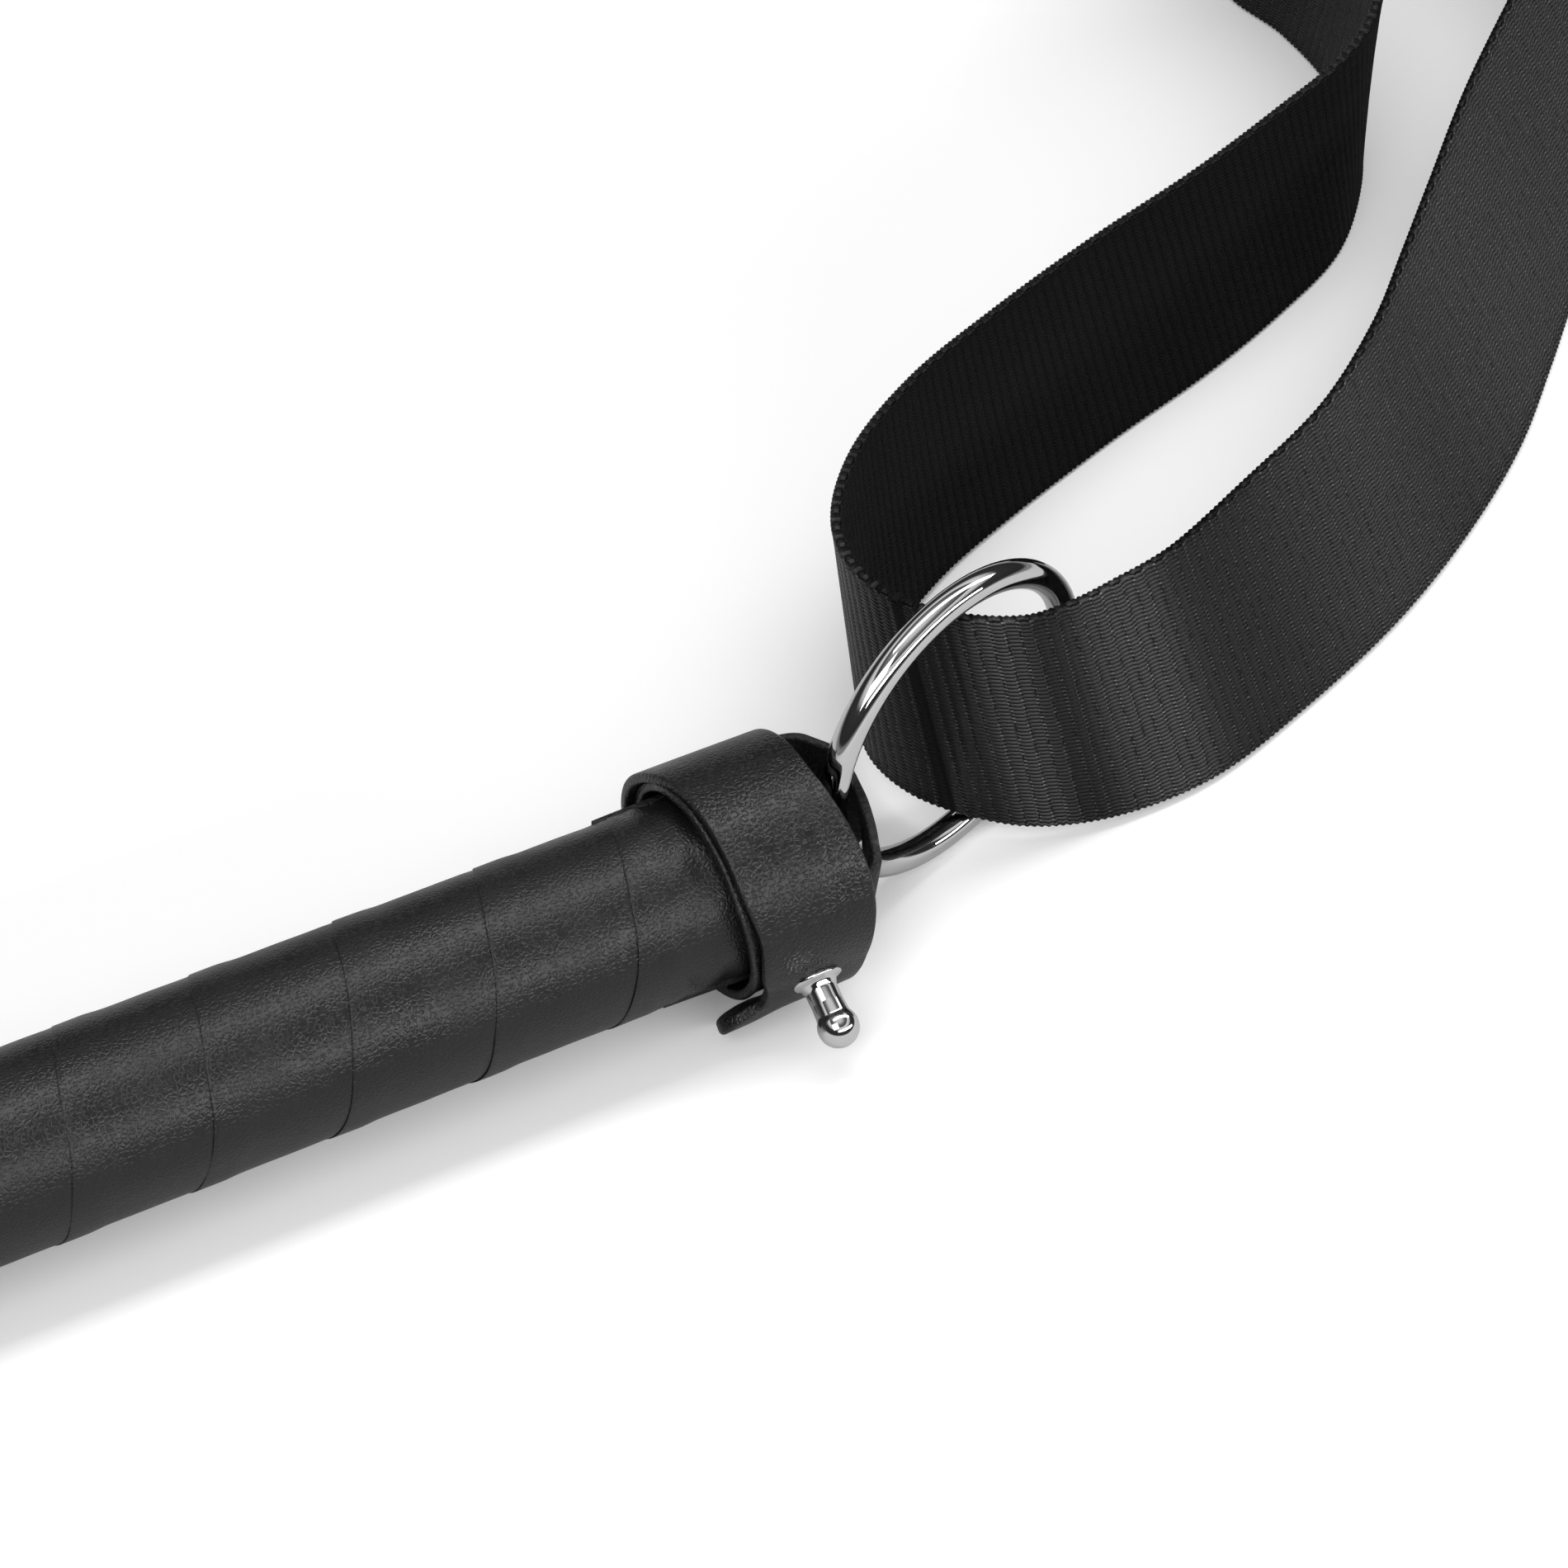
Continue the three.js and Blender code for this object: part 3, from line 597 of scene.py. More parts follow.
def build_tape():
    first, last = TAPE_TURNS
    width = TAPE_PITCH + TAPE_LAP

    def middle(u, v):
        turns = mix(first, last, u)
        from_edge = v * width
        x = tape_seam(turns) + from_edge
        lap = 1 - smooth((from_edge - TAPE_LAP) / 3)
        under = smooth((from_edge - TAPE_PITCH + 0.4) / 0.8)
        turn = turns * 2 * math.pi
        # Near the collar the tape is wrinkled, most of all low on the near side.
        crease = smooth((x + 34) / 10) * (1 - smooth((x + 12) / 4))
        low_side = 1 + 1.2 * np.exp(-(((turn - 2.1) / 0.5) ** 2))
        rolled = 0.16 * crease * low_side * ripple(x * 1.6, turn * GRIP_RADIUS * 0.8, 3)
        loose = 0.035 * ripple(x * 0.5, turn * 7, 5)
        radius = GRIP_RADIUS - TAPE_STEP / 2 + TAPE_STEP * lap - 0.05 * under + rolled + loose
        return around(np.clip(x, HANDLE_FRONT + 2, -9.6), radius, turn)

    build = Build()
    section = rounded_section(width, TAPE_STEP, 34, 0.18)
    us = np.linspace(0, 1, int((last - first) * 110))
    strip(build, middle, us, section, TAPE_STEP, (last - first) * 80, width)
    return build.finish("leather_grip_tape", tape_leather, "crop", "tape_leather", "grip_tape")


# ---- The butt collar: a leather strip rolled on in a spiral, its end a small tongue under the stud ----
COLLAR_TURNS = (-498, 150)
COLLAR_CLIMB = (-172, -128)
COLLAR_WIDTH = 17
# The two edges, in rows of turn in degrees and place along the handle in mm. Of the 42 rows, 15 are
# points traced on the photo that a separate program placed on the handle, rounded, and 5 more keep the
# turn of such a point. The other rows were chosen one by one.
COLLAR_LEFT = [
    (-498, -19.8), (-400, -19.5), (-378, -19.4), (-352, -18.9), (-330, -18.5), (-305, -18.3),
    (-283, -17.8), (-256, -17.3), (-220, -17.6), (-170, -19.0), (-110, -20.6), (-37, -20.3), (-14, -19.0),
    (10, -18.2), (30, -17.8), (48, -17.6), (58, -17.2), (70, -16.6), (98, -16.5), (114, -16.0),
    (120, -16.6), (126, -19.8), (130, -20.9), (137, -21.2), (143, -20.4), (147, -18.8), (150, -16.4),
]
COLLAR_RIGHT = [
    (-498, -3.2), (-360, -3.0), (-170, -3.0), (-60, -2.9), (-20, -2.5), (6, -2.2), (34, -1.0), (63, -0.3),
    (77, -0.4), (90, -0.8), (104, -1.3), (120, -1.8), (136, -3.0), (144, -5.2), (150, -9.0),
]


def collar_middle(u, v):
    degrees = mix(*COLLAR_TURNS, u)
    climb = smooth((degrees - COLLAR_CLIMB[0]) / (COLLAR_CLIMB[1] - COLLAR_CLIMB[0]))
    radius = mix(COLLAR_INNER_RADIUS, COLLAR_OUTER_RADIUS, climb)
    left, right = eased(COLLAR_LEFT, degrees), eased(COLLAR_RIGHT, degrees)
    # The outer end flares away from the handle, and the inner turn is rucked.
    flare = 2.0 * smooth((degrees - 105) / 35)
    inner = degrees < COLLAR_CLIMB[0]
    ruck = np.where(inner, 0.22, 0.05) * ripple(degrees * 0.11, v * 5, 11)
    edge_rise = 0.35 * smooth(1 - v / 0.12) * (1 - smooth((degrees + 140) / 20))
    x = mix(left, right, v) + 0.1 * ripple(degrees * 0.08, v * 2, 12)
    return around(x, radius + flare * (1 - 0.35 * v) + ruck + edge_rise, np.radians(degrees))


def build_collar():
    build = Build()

    def thickness(u, v):
        """The tongue is a little thicker than the rest."""
        degrees = mix(*COLLAR_TURNS, u)
        return COLLAR_LEATHER + 0.5 * smooth((degrees - 122) / 8) * (1 - smooth((v - 0.2) / 0.3))

    section = rounded_section(COLLAR_WIDTH, COLLAR_LEATHER, 26, 0.42, 4)
    us = np.concatenate([np.linspace(0, 0.9, 620), np.linspace(0.9, 1, 160)[1:]])
    strip(build, collar_middle, us, section, thickness, 170, COLLAR_WIDTH)
    return build.finish("rolled_butt_collar", strap_leather, "crop", "collar_leather", "butt_collar")


# ---- The ring tab: a leather strip looped over the end of the wood, with the ring's wire inside it ----
# Each row is a point on the upper edge and the one below it on the lower edge.
TAB_EDGES = [
    ((-28, -10.4, 6.0), (-28, -10.2, -7.0)),
    ((-14, -10.6, 6.0), (-14, -10.6, -7.0)),
    ((-8, -11.4, 6.0), (-8, -11.4, -6.6)),
    ((-3, -12.0, 6.0), (-3.5, -11.8, -5.8)),
    ((0.5, -12.3, 6.0), (-0.8, -12.0, -5.2)),
    ((2.0, -11.4, 6.3), (0.8, -10.8, -5.2)),
    ((3.0, -9.0, 7.1), (2.2, -8.6, -5.4)),
    ((4.0, -5.8, 7.7), (3.8, -5.6, -4.8)),
    ((4.7, -2.6, 8.1), (5.5, -2.8, -3.9)),
    ((5.2, 0.6, 8.4), (7.2, 0.0, -3.8)),
    ((5.3, 3.2, 8.7), (8.4, 3.1, -6.0)),
    ((5.0, 5.6, 9.1), (7.7, 5.4, -9.8)),
    ((4.0, 7.8, 9.5), (5.4, 8.6, -11.4)),
    ((2.0, 9.8, 10.0), (2.2, 10.6, -11.8)),
    ((-1.0, 10.9, 10.0), (-1.0, 11.4, -12.0)),
    ((-6, 10.6, 9.6), (-6, 10.4, -10.6)),
    ((-14, 9.6, 9.0), (-14, 9.4, -8.0)),
    ((-28, 9.2, 8.8), (-28, 9.4, -7.0)),
]


def build_tab():
    upper = [pair[0] for pair in TAB_EDGES]
    lower = [pair[1] for pair in TAB_EDGES]

    def middle(u, v):
        point = mix(spline(lower, u), spline(upper, u), np.asarray(v)[..., None])
        return point + stack(0.12 * ripple(u * 60, v * 8, 21), 0, 0.15 * ripple(u * 50, v, 22))

    build = Build()
    section = rounded_section(TAB_WIDTH, TAB_LEATHER, 18, 0.4, 4)
    strip(build, middle, np.linspace(0, 1, 260), section, TAB_LEATHER, 96, TAB_WIDTH)
    piece = build.finish("ring_tab_leather", flesh_leather, None, "collar_leather", "ring_tab")
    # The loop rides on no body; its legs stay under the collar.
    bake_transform(piece)
    return piece


# ---- The ring and the ball stud ----
def build_ring():
    flat = np.array([math.cos(RING_TURN), math.sin(RING_TURN), 0])
    angle = np.linspace(0, 2 * math.pi, 288, endpoint=False)
    spoke = np.cos(angle)[:, None] * flat + np.sin(angle)[:, None] * np.array([0, 0, 1.0])
    path = RING_CENTRE + RING_RADIUS * spoke
    # A faint line is left where the wire's ends are welded.
    weld = np.abs((angle - math.radians(290) + math.pi) % (2 * math.pi) - math.pi) * RING_RADIUS
    radius = RING_WIRE * (1 - 0.035 * np.exp(-((weld / 0.35) ** 2)))
    across = np.array([-flat[1], flat[0], 0.0])
    build = Build()
    tube(build, path, radius, np.broadcast_to(across, path.shape), sides=40, closed=True)
    return build.finish("nickel_ring", nickel, "ring", "polished_steel", "o_ring")


def build_stud():
    out = around(0, 1, STUD_TURN)
    foot = around(STUD_X, COLLAR_OUTER_RADIUS + COLLAR_LEATHER / 2 - 0.15, STUD_TURN)
    corners = [(-0.6, 0), (-0.6, STUD_FLANGE - 0.4), (0.1, STUD_FLANGE), (0.4, STUD_FLANGE - 0.1)]
    corners += [(0.8, STUD_FLANGE - 1.0), (0.95, STUD_NECK + 0.35), (1.6, STUD_NECK + 0.05)]
    corners += [(3.4, STUD_NECK), (STUD_REACH - 1.8, STUD_NECK + 0.1)]
    profile = rounded(corners, 0.2)
    for step in range(22):
        angle = math.radians(mix(124, 0, step / 21))
        profile.append((STUD_REACH + STUD_BALL * math.cos(angle), STUD_BALL * math.sin(angle)))
    build = Build()
    turned(build, profile, 72, foot, out)
    return build.finish("ball_stud", nickel, "crop", "polished_steel", "collar_stud")


# ---- The wrist strap: one length of webbing through the ring, its ends overlapped and sewn ----
# Each station is x, y, lean in degrees towards the inside, and lift of the lower edge off the floor.
# Where the photo shows the strap they follow lines that a separate program fitted to it, moved by hand
# near the ring. The others are guessed.
STRAP_STATIONS = [
    (23.7, 6.3, 0, 4.9), (30.8, 1.6, 4, 3.2), (38, -0.6, 9, 2), (47, -1.6, 14, 1.1),
    (60, -0.8, 18, 0.6), (79, 5, 22, 0.45), (98, 13, 24, 0.45), (117, 23.6, 29, 0.45),
    (133, 34.8, 34, 0.45), (147, 47.4, 35, 0.45), (163, 62.8, 35, 0.45), (180, 78.5, 33, 0.45),
    (195, 95, 27, 0.45), (204, 114, 19, 0.2), (205, 136, 11, 0.2), (196, 156, 4, 0.2),
    (180, 166.5, 0, 0.2), (163, 163, -2, 0.2), (152.3, 149, -3, 0.2), (154.4, 134.5, -3, 0.2),
    (154.2, 120.5, -2, 0.2), (149.3, 104.5, 0, 0.2), (141.3, 92.8, -1, 0.2), (132, 84, -4, 0.2),
    (118, 77, -6, 0.2), (100, 69.9, -7, 0.2), (80, 63.6, -7, 0.2), (60, 56.6, -7, 0.3),
    (44, 49.5, -7, 0.7), (30, 39.8, -7, 1.5), (21.8, 29.5, -6, 2.7), (18.9, 20.5, -4, 3.8),
    (20, 12.6, -2, 4.6),
]


def strap_tables():
    """The loop's lower and upper edges, each by its own length, with the way out of the loop."""
    t = np.linspace(0, 1, 2401)
    edge = [(x, y, FLOOR + lift) for x, y, _, lift in STRAP_STATIONS]
    leans = [(x, y, lean) for x, y, lean, _ in STRAP_STATIONS]
    lower = spline(edge, t, True)
    lean = np.radians(spline(leans, t, True)[:, 2])
    tangent = unit(np.gradient(lower, axis=0) * [1, 1, 0])
    tangent[0] = tangent[-1] = unit(tangent[1] + tangent[-2])
    inward = stack(-tangent[:, 1], tangent[:, 0], 0)
    rise = inward * np.sin(lean)[:, None] + stack(0, 0, np.cos(lean))
    outward = -inward * np.cos(lean)[:, None] + stack(0, 0, np.sin(lean))
    upper = lower + STRAP_WIDTH * rise
    tables = []
    for edge_points in (lower, upper):
        steps = np.linalg.norm(np.diff(edge_points, axis=0), axis=1)
        length = np.concatenate([[0], np.cumsum(steps)])
        tables.append((length / length[-1], edge_points, length[-1]))
    return tables, outward


(strap_low, strap_high), strap_outward = strap_tables()
strap_length = strap_low[2]


def looked_up(share, places, values):
    share = share % 1
    return np.stack([np.interp(share, places, values[:, k]) for k in range(3)], -1)


def weft_slant(share):
    """Near the ring the weft leans, so the upper edge is behind the lower one by this share of the loop."""
    near = 1 - smooth(share / 0.35) + smooth((share - 0.8) / 0.2)
    return WEFT_SLANT / strap_length * near


def strap_point(share, across, out):
    """A point on the webbing: share of the loop, share of the width, and distance out of the loop."""
    a = looked_up(share, strap_low[0], strap_low[1])
    b = looked_up(share - weft_slant(share % 1), strap_high[0], strap_high[1])
    outward = unit(looked_up(share, strap_low[0], strap_outward))
    return mix(a, b, np.asarray(across)[..., None]) + outward * np.asarray(out)[..., None]


def strap_middle(u, v):
    overlap = STRAP_OVERLAP / strap_length
    share = SEAM_START + u * (1 + overlap)
    past = (u * (1 + overlap) - 1) / overlap + 0.35
    out = smooth(past / 0.3) * (STRAP_THICKNESS + STRAP_GAP)
    wave = 0.18 * ripple(share * strap_length * 0.09, v * 2.5, 31)
    return strap_point(share, v, out + wave)


# Painted sheen on the outer face, by distance along the loop from the ring, in mm: bands of painted highlight
# where the floats catch the light, and painted shade from the ring close to it.
PAINTED_SHEEN = [
    (-275, 0.15), (-200, 0.3), (-60, 0.4), (-25, 0.5), (-13, 0.5), (-8, 0.4), (-4, 0.1), (3, 0.07),
    (7, 0.2), (11, 0.95), (15, 0.9), (18, 0.25), (22, 0.2), (26, 0.7), (32, 1.0), (37, 0.85), (42, 0.3),
    (50, 0.12), (58, 0.2), (70, 0.44), (85, 0.48), (102, 0.3), (120, 0.4), (150, 0.38), (190, 0.34),
    (240, 0.3), (275, 0.15),
]


def painted_sheen_at(u):
    overlap = STRAP_OVERLAP / strap_length
    share = (SEAM_START + u * (1 + overlap) + 0.5) % 1 - 0.5
    return eased(PAINTED_SHEEN, share * strap_length)


def build_strap():
    length = strap_length + STRAP_OVERLAP
    rib_count = int(length / RIB_PITCH)
    per_rib = 10
    us = np.linspace(0, 1, rib_count * per_rib + 1)

    # The ribs are proud of the valleys between them, and the selvedge is beaded.
    def middle(u, v):
        beads = 0.0025 * np.cos(2 * math.pi * u * length / BEAD_PITCH)
        from_edge = np.minimum(v, 1 - v)
        pull = beads * (1 - smooth(from_edge / 0.06)) * np.sign(v - 0.5)
        return strap_middle(u, v + pull)

    def thickness(u, v):
        rib = np.abs(np.sin(math.pi * u * length / RIB_PITCH))
        bead = np.cos(2 * math.pi * u * length / BEAD_PITCH)
        selvedge = 1 - smooth((np.minimum(v, 1 - v) - 0.015) / 0.03)
        return STRAP_THICKNESS - 0.12 * (1 - rib) * (1 - selvedge) + (0.1 + 0.14 * bead) * selvedge

    build = Build()
    section = rounded_section(STRAP_WIDTH, STRAP_THICKNESS, 30, 0.55, 4)
    strip(build, middle, us, section, thickness, length, STRAP_WIDTH, painted_sheen_at)
    piece = build.finish("webbing_wrist_strap", webbing_cloth, "strap", "webbing", "wrist_strap")
    return piece


def build_strap_stitches():
    """A sewn box with a cross, on both faces of the overlap."""
    near, far, inset = 4, STRAP_OVERLAP - 4, 5
    low_row, high_row = inset, STRAP_WIDTH - inset
    box = [(near, low_row), (far, low_row), (far, high_row), (near, high_row), (near, low_row)]
    cross = [[(near, low_row), (far, high_row)], [(near, high_row), (far, low_row)]]
    outer_face = 1.5 * STRAP_THICKNESS + STRAP_GAP
    inner_face = -STRAP_THICKNESS / 2
    build = Build()

    def sew(x0, y0, x1, y1):
        count = round(math.hypot(x1 - x0, y1 - y0) / STITCH_PITCH)
        for i in range(count):
            for face, height in ((1, outer_face), (-1, inner_face)):
                ends = []
                for t in ((i + 0.12) / count, (i + 0.88) / count):
                    share = SEAM_START + mix(x0, x1, t) / strap_length
                    across = mix(y0, y1, t) / STRAP_WIDTH
                    ends.append(strap_point(np.array(share), np.array(across), np.array(height)))
                normal = face * unit(looked_up(np.array(share), strap_low[0], strap_outward))
                stitch(build, ends[0], ends[1], normal, 0.32, 0.3)

    for run in [box, *cross]:
        for start, end in zip(run, run[1:]):
            sew(*start, *end)
    return build.finish("strap_box_stitches", sewing_thread, "strap", "thread", "strap_stitching")


# ---- The front of the handle: the leather hand stop, and the moulded cap that runs down to the shaft ----
def build_hand_stop():
    middle = HANDLE_FRONT + HAND_STOP_WIDTH / 2
    profile = [(HANDLE_FRONT + 0.05, GRIP_RADIUS - 0.6)]
    for step in range(33):
        angle = math.pi * step / 32
        x = middle - (HAND_STOP_WIDTH / 2 - 0.3) * math.cos(angle)
        profile.append((x, GRIP_RADIUS + 0.7 + HAND_STOP_RISE * math.sin(angle) ** 0.8))
    profile.append((HANDLE_FRONT + HAND_STOP_WIDTH - 0.4, GRIP_RADIUS - 0.3))

    def seam(along, radius, angle):
        """The leather's joint is a groove across the roll, and its edges are pleated."""
        groove = np.exp(-((((angle - 2.6 + math.pi) % (2 * math.pi) - math.pi) * 16 / 0.35) ** 2))
        to_edge = np.abs(along - middle) / HAND_STOP_WIDTH * 2
        pleats = 0.12 * np.sin(angle * 22 + np.sin(angle * 3)) * to_edge
        return along, radius - (0.45 * groove + np.abs(pleats)) * (radius > 13)

    build = Build()
    turned(build, profile, 256, per_point=seam)
    return build.finish("leather_hand_stop", strap_leather, "crop", "collar_leather", "hand_stop")


def build_cap():
    back = HANDLE_FRONT - 0.02
    corners = [(back, 0), (back, 12.4), (back - 0.6, 12.9), (back - 2.4, 12.9), (back - 3, 12.2)]
    corners += [(back - 4, 12.0), (back - 4.6, 12.5), (back - 6, 12.3)]
    for step in range(1, 12):
        t = step / 12
        corners.append((back - 6 - 18 * t, mix(12.0, 6.0, smooth(np.array(t)) ** 0.85)))
    for ridge in range(3):
        x = back - 24 - ridge * 1.6
        corners += [(x, 5.9), (x - 0.3, 5.4), (x - 0.9, 5.4), (x - 1.2, 5.9)]
    mouth = HANDLE_FRONT - 29.9
    corners += [(mouth + 0.5, 5.2), (mouth, 4.7), (mouth, 4.1), (mouth + 1.9, 4.0), (mouth + 1.9, 0)]
    build = Build()
    turned(build, rounded(corners, 0.35, 4), 128)
    return build.finish("moulded_handle_cap", nylon, "crop", "nylon_cap", "handle_cap")


# ---- The shaft: sixteen strands braided over the rod ----
def build_braid():
    low_x, high_x = SHAFT_ENDS
    core = BRAID_RADIUS - 0.32
    build = Build()
    x = np.linspace(low_x, high_x, 560)
    turns = (x - low_x) / BRAID_LAY
    for hand in (1, -1):
        for strand in range(STRANDS_EACH_WAY):
            turn = 2 * math.pi * (hand * turns + strand / STRANDS_EACH_WAY)
            phase = 2 * math.pi * turns * STRANDS_EACH_WAY / 2 + math.pi * strand
            over = hand * np.cos(phase)
            path = around(x, BRAID_RADIUS + 0.2 * over, turn)
            tube(build, path, 0.95, around(np.zeros_like(x), 1.0, turn), squeeze=0.3)
    turned(build, [(low_x, 0), (low_x, core), (high_x, core), (high_x, 0)], 24)
    return build.finish("braided_shaft_cover", braid_thread, "crop", "braided_cover", "shaft_cover")


# ---- The keeper: folded leather bound to the end of the shaft, stitched round its edge ----
def keeper_half_width(distance):
    shoulder = smooth(distance / 26)
    tip = np.clip((distance - (KEEPER_LENGTH - 16)) / 16, 0, 1)
    return mix(6.0, KEEPER_WIDTH / 2, shoulder) - 7 * (1 - np.sqrt(1 - 0.9 * tip * tip))


def keeper_section():
    """Round the two plies: (how far across, -1 to 1; height in mm; how far the edge is cut in, in mm)."""
    half = KEEPER_CLOSE + KEEPER_LEATHER
    right = [(1, half - 0.12, 0.5), (1, half - 0.5, 0.08), (1, half - 0.9, 0), (1, 0.75, 0.05)]
    right += [(1, 0.45, 0.35), (1, 0.3, 1.6), (1, -0.3, 1.6), (1, -0.45, 0.35)]
    right += [(1, -0.75, 0.05), (1, 0.9 - half, 0), (1, 0.5 - half, 0.08), (1, 0.12 - half, 0.5)]
    run = np.linspace(-1, 1, 34)
    top = [(t, half, 0.9) for t in run]
    bottom = [(t, -half, 0.9) for t in run[::-1]]
    left = [(-1, -height, cut) for _, height, cut in right]
    return np.array(top + right + bottom + left)


def build_keeper():
    section = keeper_section()
    start, end = KEEPER_ROOT + 26, KEEPER_ROOT - KEEPER_LENGTH + 0.3
    xs = np.concatenate([
        np.linspace(start, KEEPER_ROOT, 40),
        np.linspace(KEEPER_ROOT, end + 8, 120)[1:],
        end + 8 * (1 - np.sin(np.linspace(0, math.pi / 2, 30)))[1:],
    ])
    rows = []
    # The root is round where it is bound, with a waist under the whipping; past it the section goes flat.
    for x in xs:
        distance = KEEPER_ROOT - x
        half = float(keeper_half_width(max(distance, 0.0)))
        tip = np.clip((distance - (KEEPER_LENGTH - 3)) / 2.7, 0, 1)
        height = section[:, 1] * (1 - 0.55 * tip**3)
        reach = np.maximum(half - section[:, 2] * (1 + 2 * tip), 0.2)
        y = section[:, 0] * reach
        crown = 0.25 * (1 - (y / max(half, 1)) ** 2) * smooth(distance / 20) * (1 - tip)
        flat = stack(x, y, height + np.sign(height) * np.minimum(crown, 0.4) * 0.4)
        round_turn = np.arctan2(section[:, 0] * 6, section[:, 1] * 2)
        bound = 0.35 * np.exp(-(((x - (KEEPER_ROOT + 17.5)) / 5.5) ** 4))
        radius = KEEPER_ROUND_RADIUS - bound + 0.08 * np.sin(round_turn * 9)
        tube_row = stack(x, radius * np.sin(round_turn), radius * np.cos(round_turn))
        rows.append(mix(tube_row, flat, smooth(np.array((distance + 6) / 22))))
    points = np.array(rows)
    points[..., 2] += 0.12 * ripple(points[..., 0] * 0.25, points[..., 1] * 0.25, 41) * 0.6
    build = Build()
    build.grid(points, wrap_v=True, caps=True)
    nodes = ("keeper_flap", "keeper_wrap")
    piece = build.finish("folded_keeper", keeper_leather, None, "keeper_leather", *nodes)
    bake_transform(piece)
    return piece


def build_keeper_stitches():
    first, last = 14, KEEPER_LENGTH - 6
    path = []
    steps = 400
    for i in range(-steps, steps + 1):
        distance = mix(first, last, math.sin((1 - abs(i) / steps) * math.pi / 2))
        side = math.copysign(1, i) * min(1, abs(i) / 110) ** 0.5
        path.append((KEEPER_ROOT - distance, side * (float(keeper_half_width(distance)) - STITCH_INSET)))
    path = np.array(path)
    length = np.concatenate([[0], np.cumsum(np.linalg.norm(np.diff(path, axis=0), axis=1))])
    count = round(length[-1] / KEEPER_STITCH_PITCH)
    build = Build()
    for face in (1, -1):
        height = face * (KEEPER_CLOSE + KEEPER_LEATHER + 0.06)
        for i in range(count):
            ends = []
            for t in ((i + 0.12) / count, (i + 0.88) / count):
                x, y = (np.interp(t * length[-1], length, path[:, k]) for k in (0, 1))
                ends.append((x, y, height))
            stitch(build, ends[0], ends[1], (0, 0, face), 0.33, 0.32)
    return build.finish("keeper_edge_stitches", sewing_thread, "keeper", "thread", "keeper_stitching")


def build_whipping():
    turns, pitch, wire = 9, 1.0, 0.52
    start = KEEPER_ROOT + 21.5
    t = np.linspace(0, 1, turns * 48)
    turn = t * turns * 2 * math.pi
    path = around(start - turns * pitch * t, KEEPER_ROUND_RADIUS + 0.2, turn)
    build = Build()
    tube(build, path, wire, around(np.zeros_like(t), 1.0, turn), sides=12)
    return build.finish("keeper_whipping_thread", whipping_thread, "crop", "thread", "keeper_whipping")


build_tape()
build_collar()
build_tab()
build_ring()
build_stud()
build_strap()
build_strap_stitches()
build_hand_stop()
build_cap()
build_braid()
build_keeper()
build_keeper_stitches()
build_whipping()


# ---- The pieces inside keep their CAD shapes, with their own finishes ----
def paint(material, *nodes):
    for node in nodes:
        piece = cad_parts[node]
        if not piece.material_slots:
            piece.data.materials.append(material)
        for slot in piece.material_slots:
            slot.material = material


paint(wood(), "handle_dowel")
paint(fibreglass(), "core_rod")
paint(nylon, "tip_cap")
paint(metal("plain_steel", (0.4, 0.4, 0.41, 1), (0.6, 0.6, 0.61, 1), 0.35), "stud_screw")
brass = metal("tack_brass", (0.5, 0.36, 0.15, 1), (0.65, 0.5, 0.25, 1), 0.3)
paint(brass, "tape_tack_front", "tape_tack_butt", "tab_tack_near", "tab_tack_far")


# ---- The floor, the light and the camera ----
# (height of a direction, brightness): the dome that lights the scene, and what glossy surfaces see of it.
DOME = [(0.0, 0.02), (0.35, 0.05), (0.6, 0.2), (0.85, 0.5), (1.0, 0.6)]
MIRRORED = [
    (0.0, 0.3), (0.1, 0.03), (0.45, 0.04), (0.6, 0.7), (0.68, 0.9), (0.76, 0.05), (0.86, 0.2), (1.0, 0.8),
]
LIGHT_DISTANCE = 900
# A separate program fitted the camera to the photo.
CAMERA_TARGET = np.array([-1.76, 7.13, 5.08])
CAMERA_DISTANCE = 564.25
CAMERA_ANGLES = (math.radians(-27.117), math.radians(47.486))  # azimuth and elevation


def build_floor():
    """A pale surface, which the camera sees brighter than the crop does."""
    build = Build()
    side = np.linspace(-4000, 4000, 9)
    x, y = np.meshgrid(side, side, indexing="ij")
    build.grid(stack(x, y, FLOOR - 0.05))
    n = Nodes("pale_floor")
    cloudy = n.noise(n.place(), 3, 2)
    path = n.add("ShaderNodeLightPath")
    seen = n.blend(cloudy, grey(0.92), grey(0.94))
    unseen = n.blend(path.outputs["Is Glossy Ray"], grey(0.3), grey(0.62))
    n.set(Base_Color=n.blend(path.outputs["Is Camera Ray"], unseen, seen))
    n.set(Roughness=0.9, Specular_IOR_Level=0.1)
    lifted = n.math("MULTIPLY", path.outputs["Is Camera Ray"], 0.12)
    n.set(Emission_Color=grey(1.0), Emission_Strength=lifted)
    link_object("floor", build.mesh("floor", n.material))


def world_ramp(tree, height, stops):
    """A background whose brightness follows the direction's height, from the horizon to straight up."""
    ramp = tree.nodes.new("ShaderNodeValToRGB")
    tree.links.new(height, ramp.inputs[0])
    ramp.color_ramp.interpolation = "EASE"
    first, last = ramp.color_ramp.elements
    first.position, first.color = stops[0][0], grey(stops[0][1])
    last.position, last.color = stops[-1][0], grey(stops[-1][1])
    for position, value in stops[1:-1]:
        ramp.color_ramp.elements.new(position).color = grey(value)
    background = tree.nodes.new("ShaderNodeBackground")
    tree.links.new(ramp.outputs[0], background.inputs[0])
    return background.outputs[0]


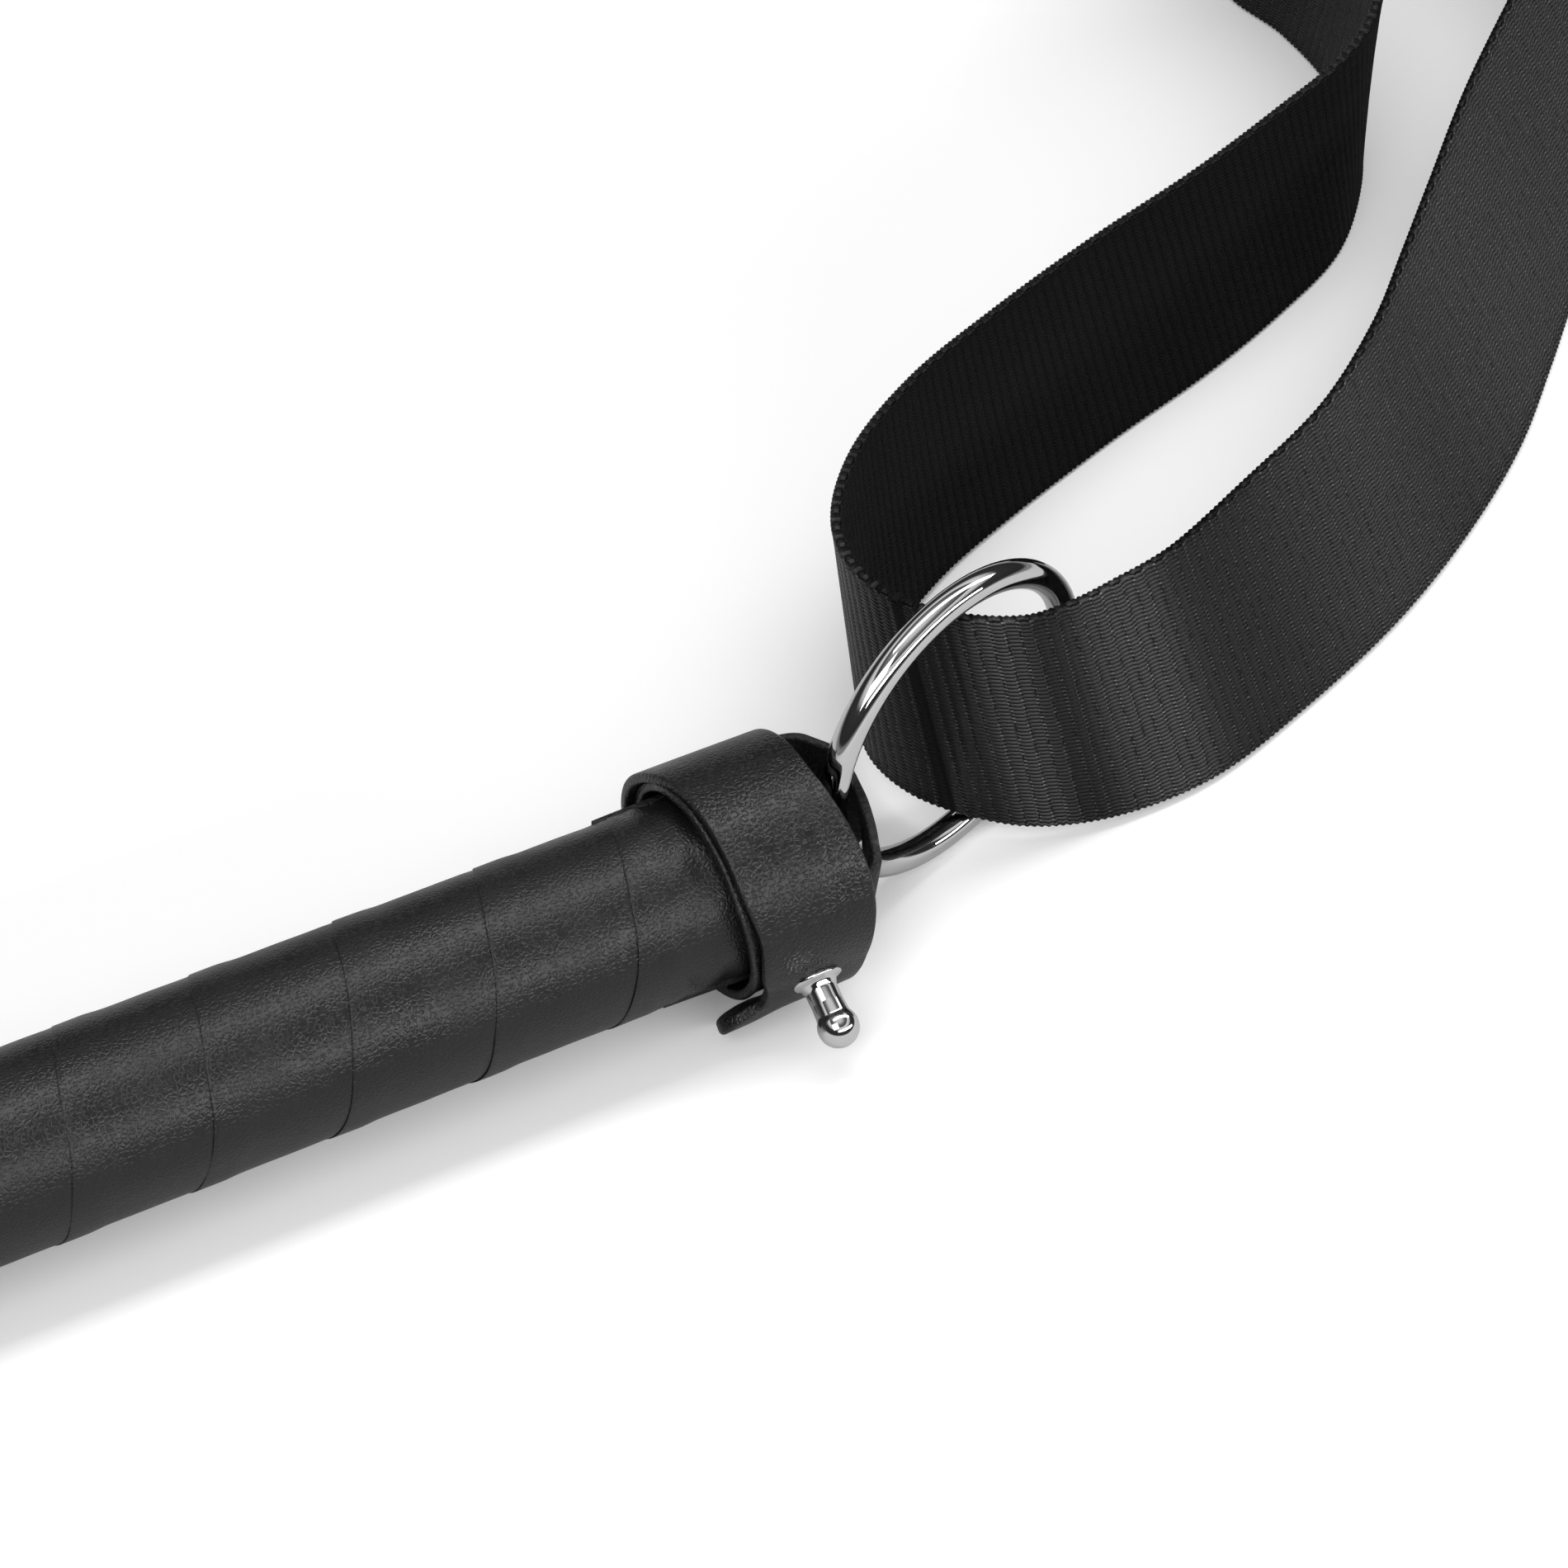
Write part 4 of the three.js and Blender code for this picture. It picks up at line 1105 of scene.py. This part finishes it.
def build_world():
    """A studio lit from above: a pale dome, dark towards the horizon. The background is plain white."""
    world = bpy.data.worlds.new("studio")
    world.use_nodes = True
    scene.world = world
    tree = world.node_tree
    tree.nodes.clear()
    parts = tree.nodes.new("ShaderNodeSeparateXYZ")
    tree.links.new(tree.nodes.new("ShaderNodeTexCoord").outputs["Generated"], parts.inputs[0])
    dome = world_ramp(tree, parts.outputs[2], DOME)
    mirrored = world_ramp(tree, parts.outputs[2], MIRRORED)
    plain = tree.nodes.new("ShaderNodeBackground")
    plain.inputs[0].default_value = grey(1.0)
    path = tree.nodes.new("ShaderNodeLightPath")

    def choose(ray, no, yes):
        mixed = tree.nodes.new("ShaderNodeMixShader")
        tree.links.new(path.outputs[ray], mixed.inputs[0])
        tree.links.new(no, mixed.inputs[1])
        tree.links.new(yes, mixed.inputs[2])
        return mixed.outputs[0]

    unseen = choose("Is Glossy Ray", dome, mirrored)
    seen = choose("Is Camera Ray", unseen, plain.outputs[0])
    tree.links.new(seen, tree.nodes.new("ShaderNodeOutputWorld").inputs[0])


def area_light(name, direction, size, power):
    """A soft box that looks at the handle near the collar, with its long side along the handle."""
    direction = unit(np.array(direction, float))
    aim = np.array([-20.0, 0, 0])
    data = bpy.data.lights.new(name, "AREA")
    data.shape = "RECTANGLE"
    data.size, data.size_y = size
    data.energy = power
    light = link_object(name, data)
    light.location = Vector((aim + origin + direction * LIGHT_DISTANCE) * MM)
    back = Vector(direction)
    right = Vector((1, 0, 0))
    right = (right - back * right.dot(back)).normalized()
    up = back.cross(right)
    rotation = np.array([right, up, back]).T
    light.rotation_mode = "QUATERNION"
    light.rotation_quaternion = Matrix(rotation.tolist()).to_quaternion()


def build_camera():
    data = bpy.data.cameras.new("camera")
    data.lens, data.sensor_width = 100, 36
    data.clip_start = 0.01
    azimuth, elevation = CAMERA_ANGLES
    back = np.array([
        math.sin(azimuth) * math.cos(elevation),
        -math.cos(azimuth) * math.cos(elevation),
        math.sin(elevation),
    ])
    camera = link_object("camera", data)
    camera.location = Vector((CAMERA_TARGET + origin + back * CAMERA_DISTANCE) * MM)
    camera.rotation_mode = "QUATERNION"
    camera.rotation_quaternion = Vector(-back).to_track_quat("-Z", "Y")
    scene.camera = camera


build_floor()
build_world()
area_light("overhead_box", (0.31, 0.17, 0.93), (1.6, 0.2), 5.6)
area_light("front_box", (0.31, -0.85, 0.43), (1.6, 0.14), 6.0)
area_light("left_box", (-0.5, -0.42, 0.75), (0.5, 0.5), 2.2)
build_camera()
scene.view_settings.view_transform = "Standard"
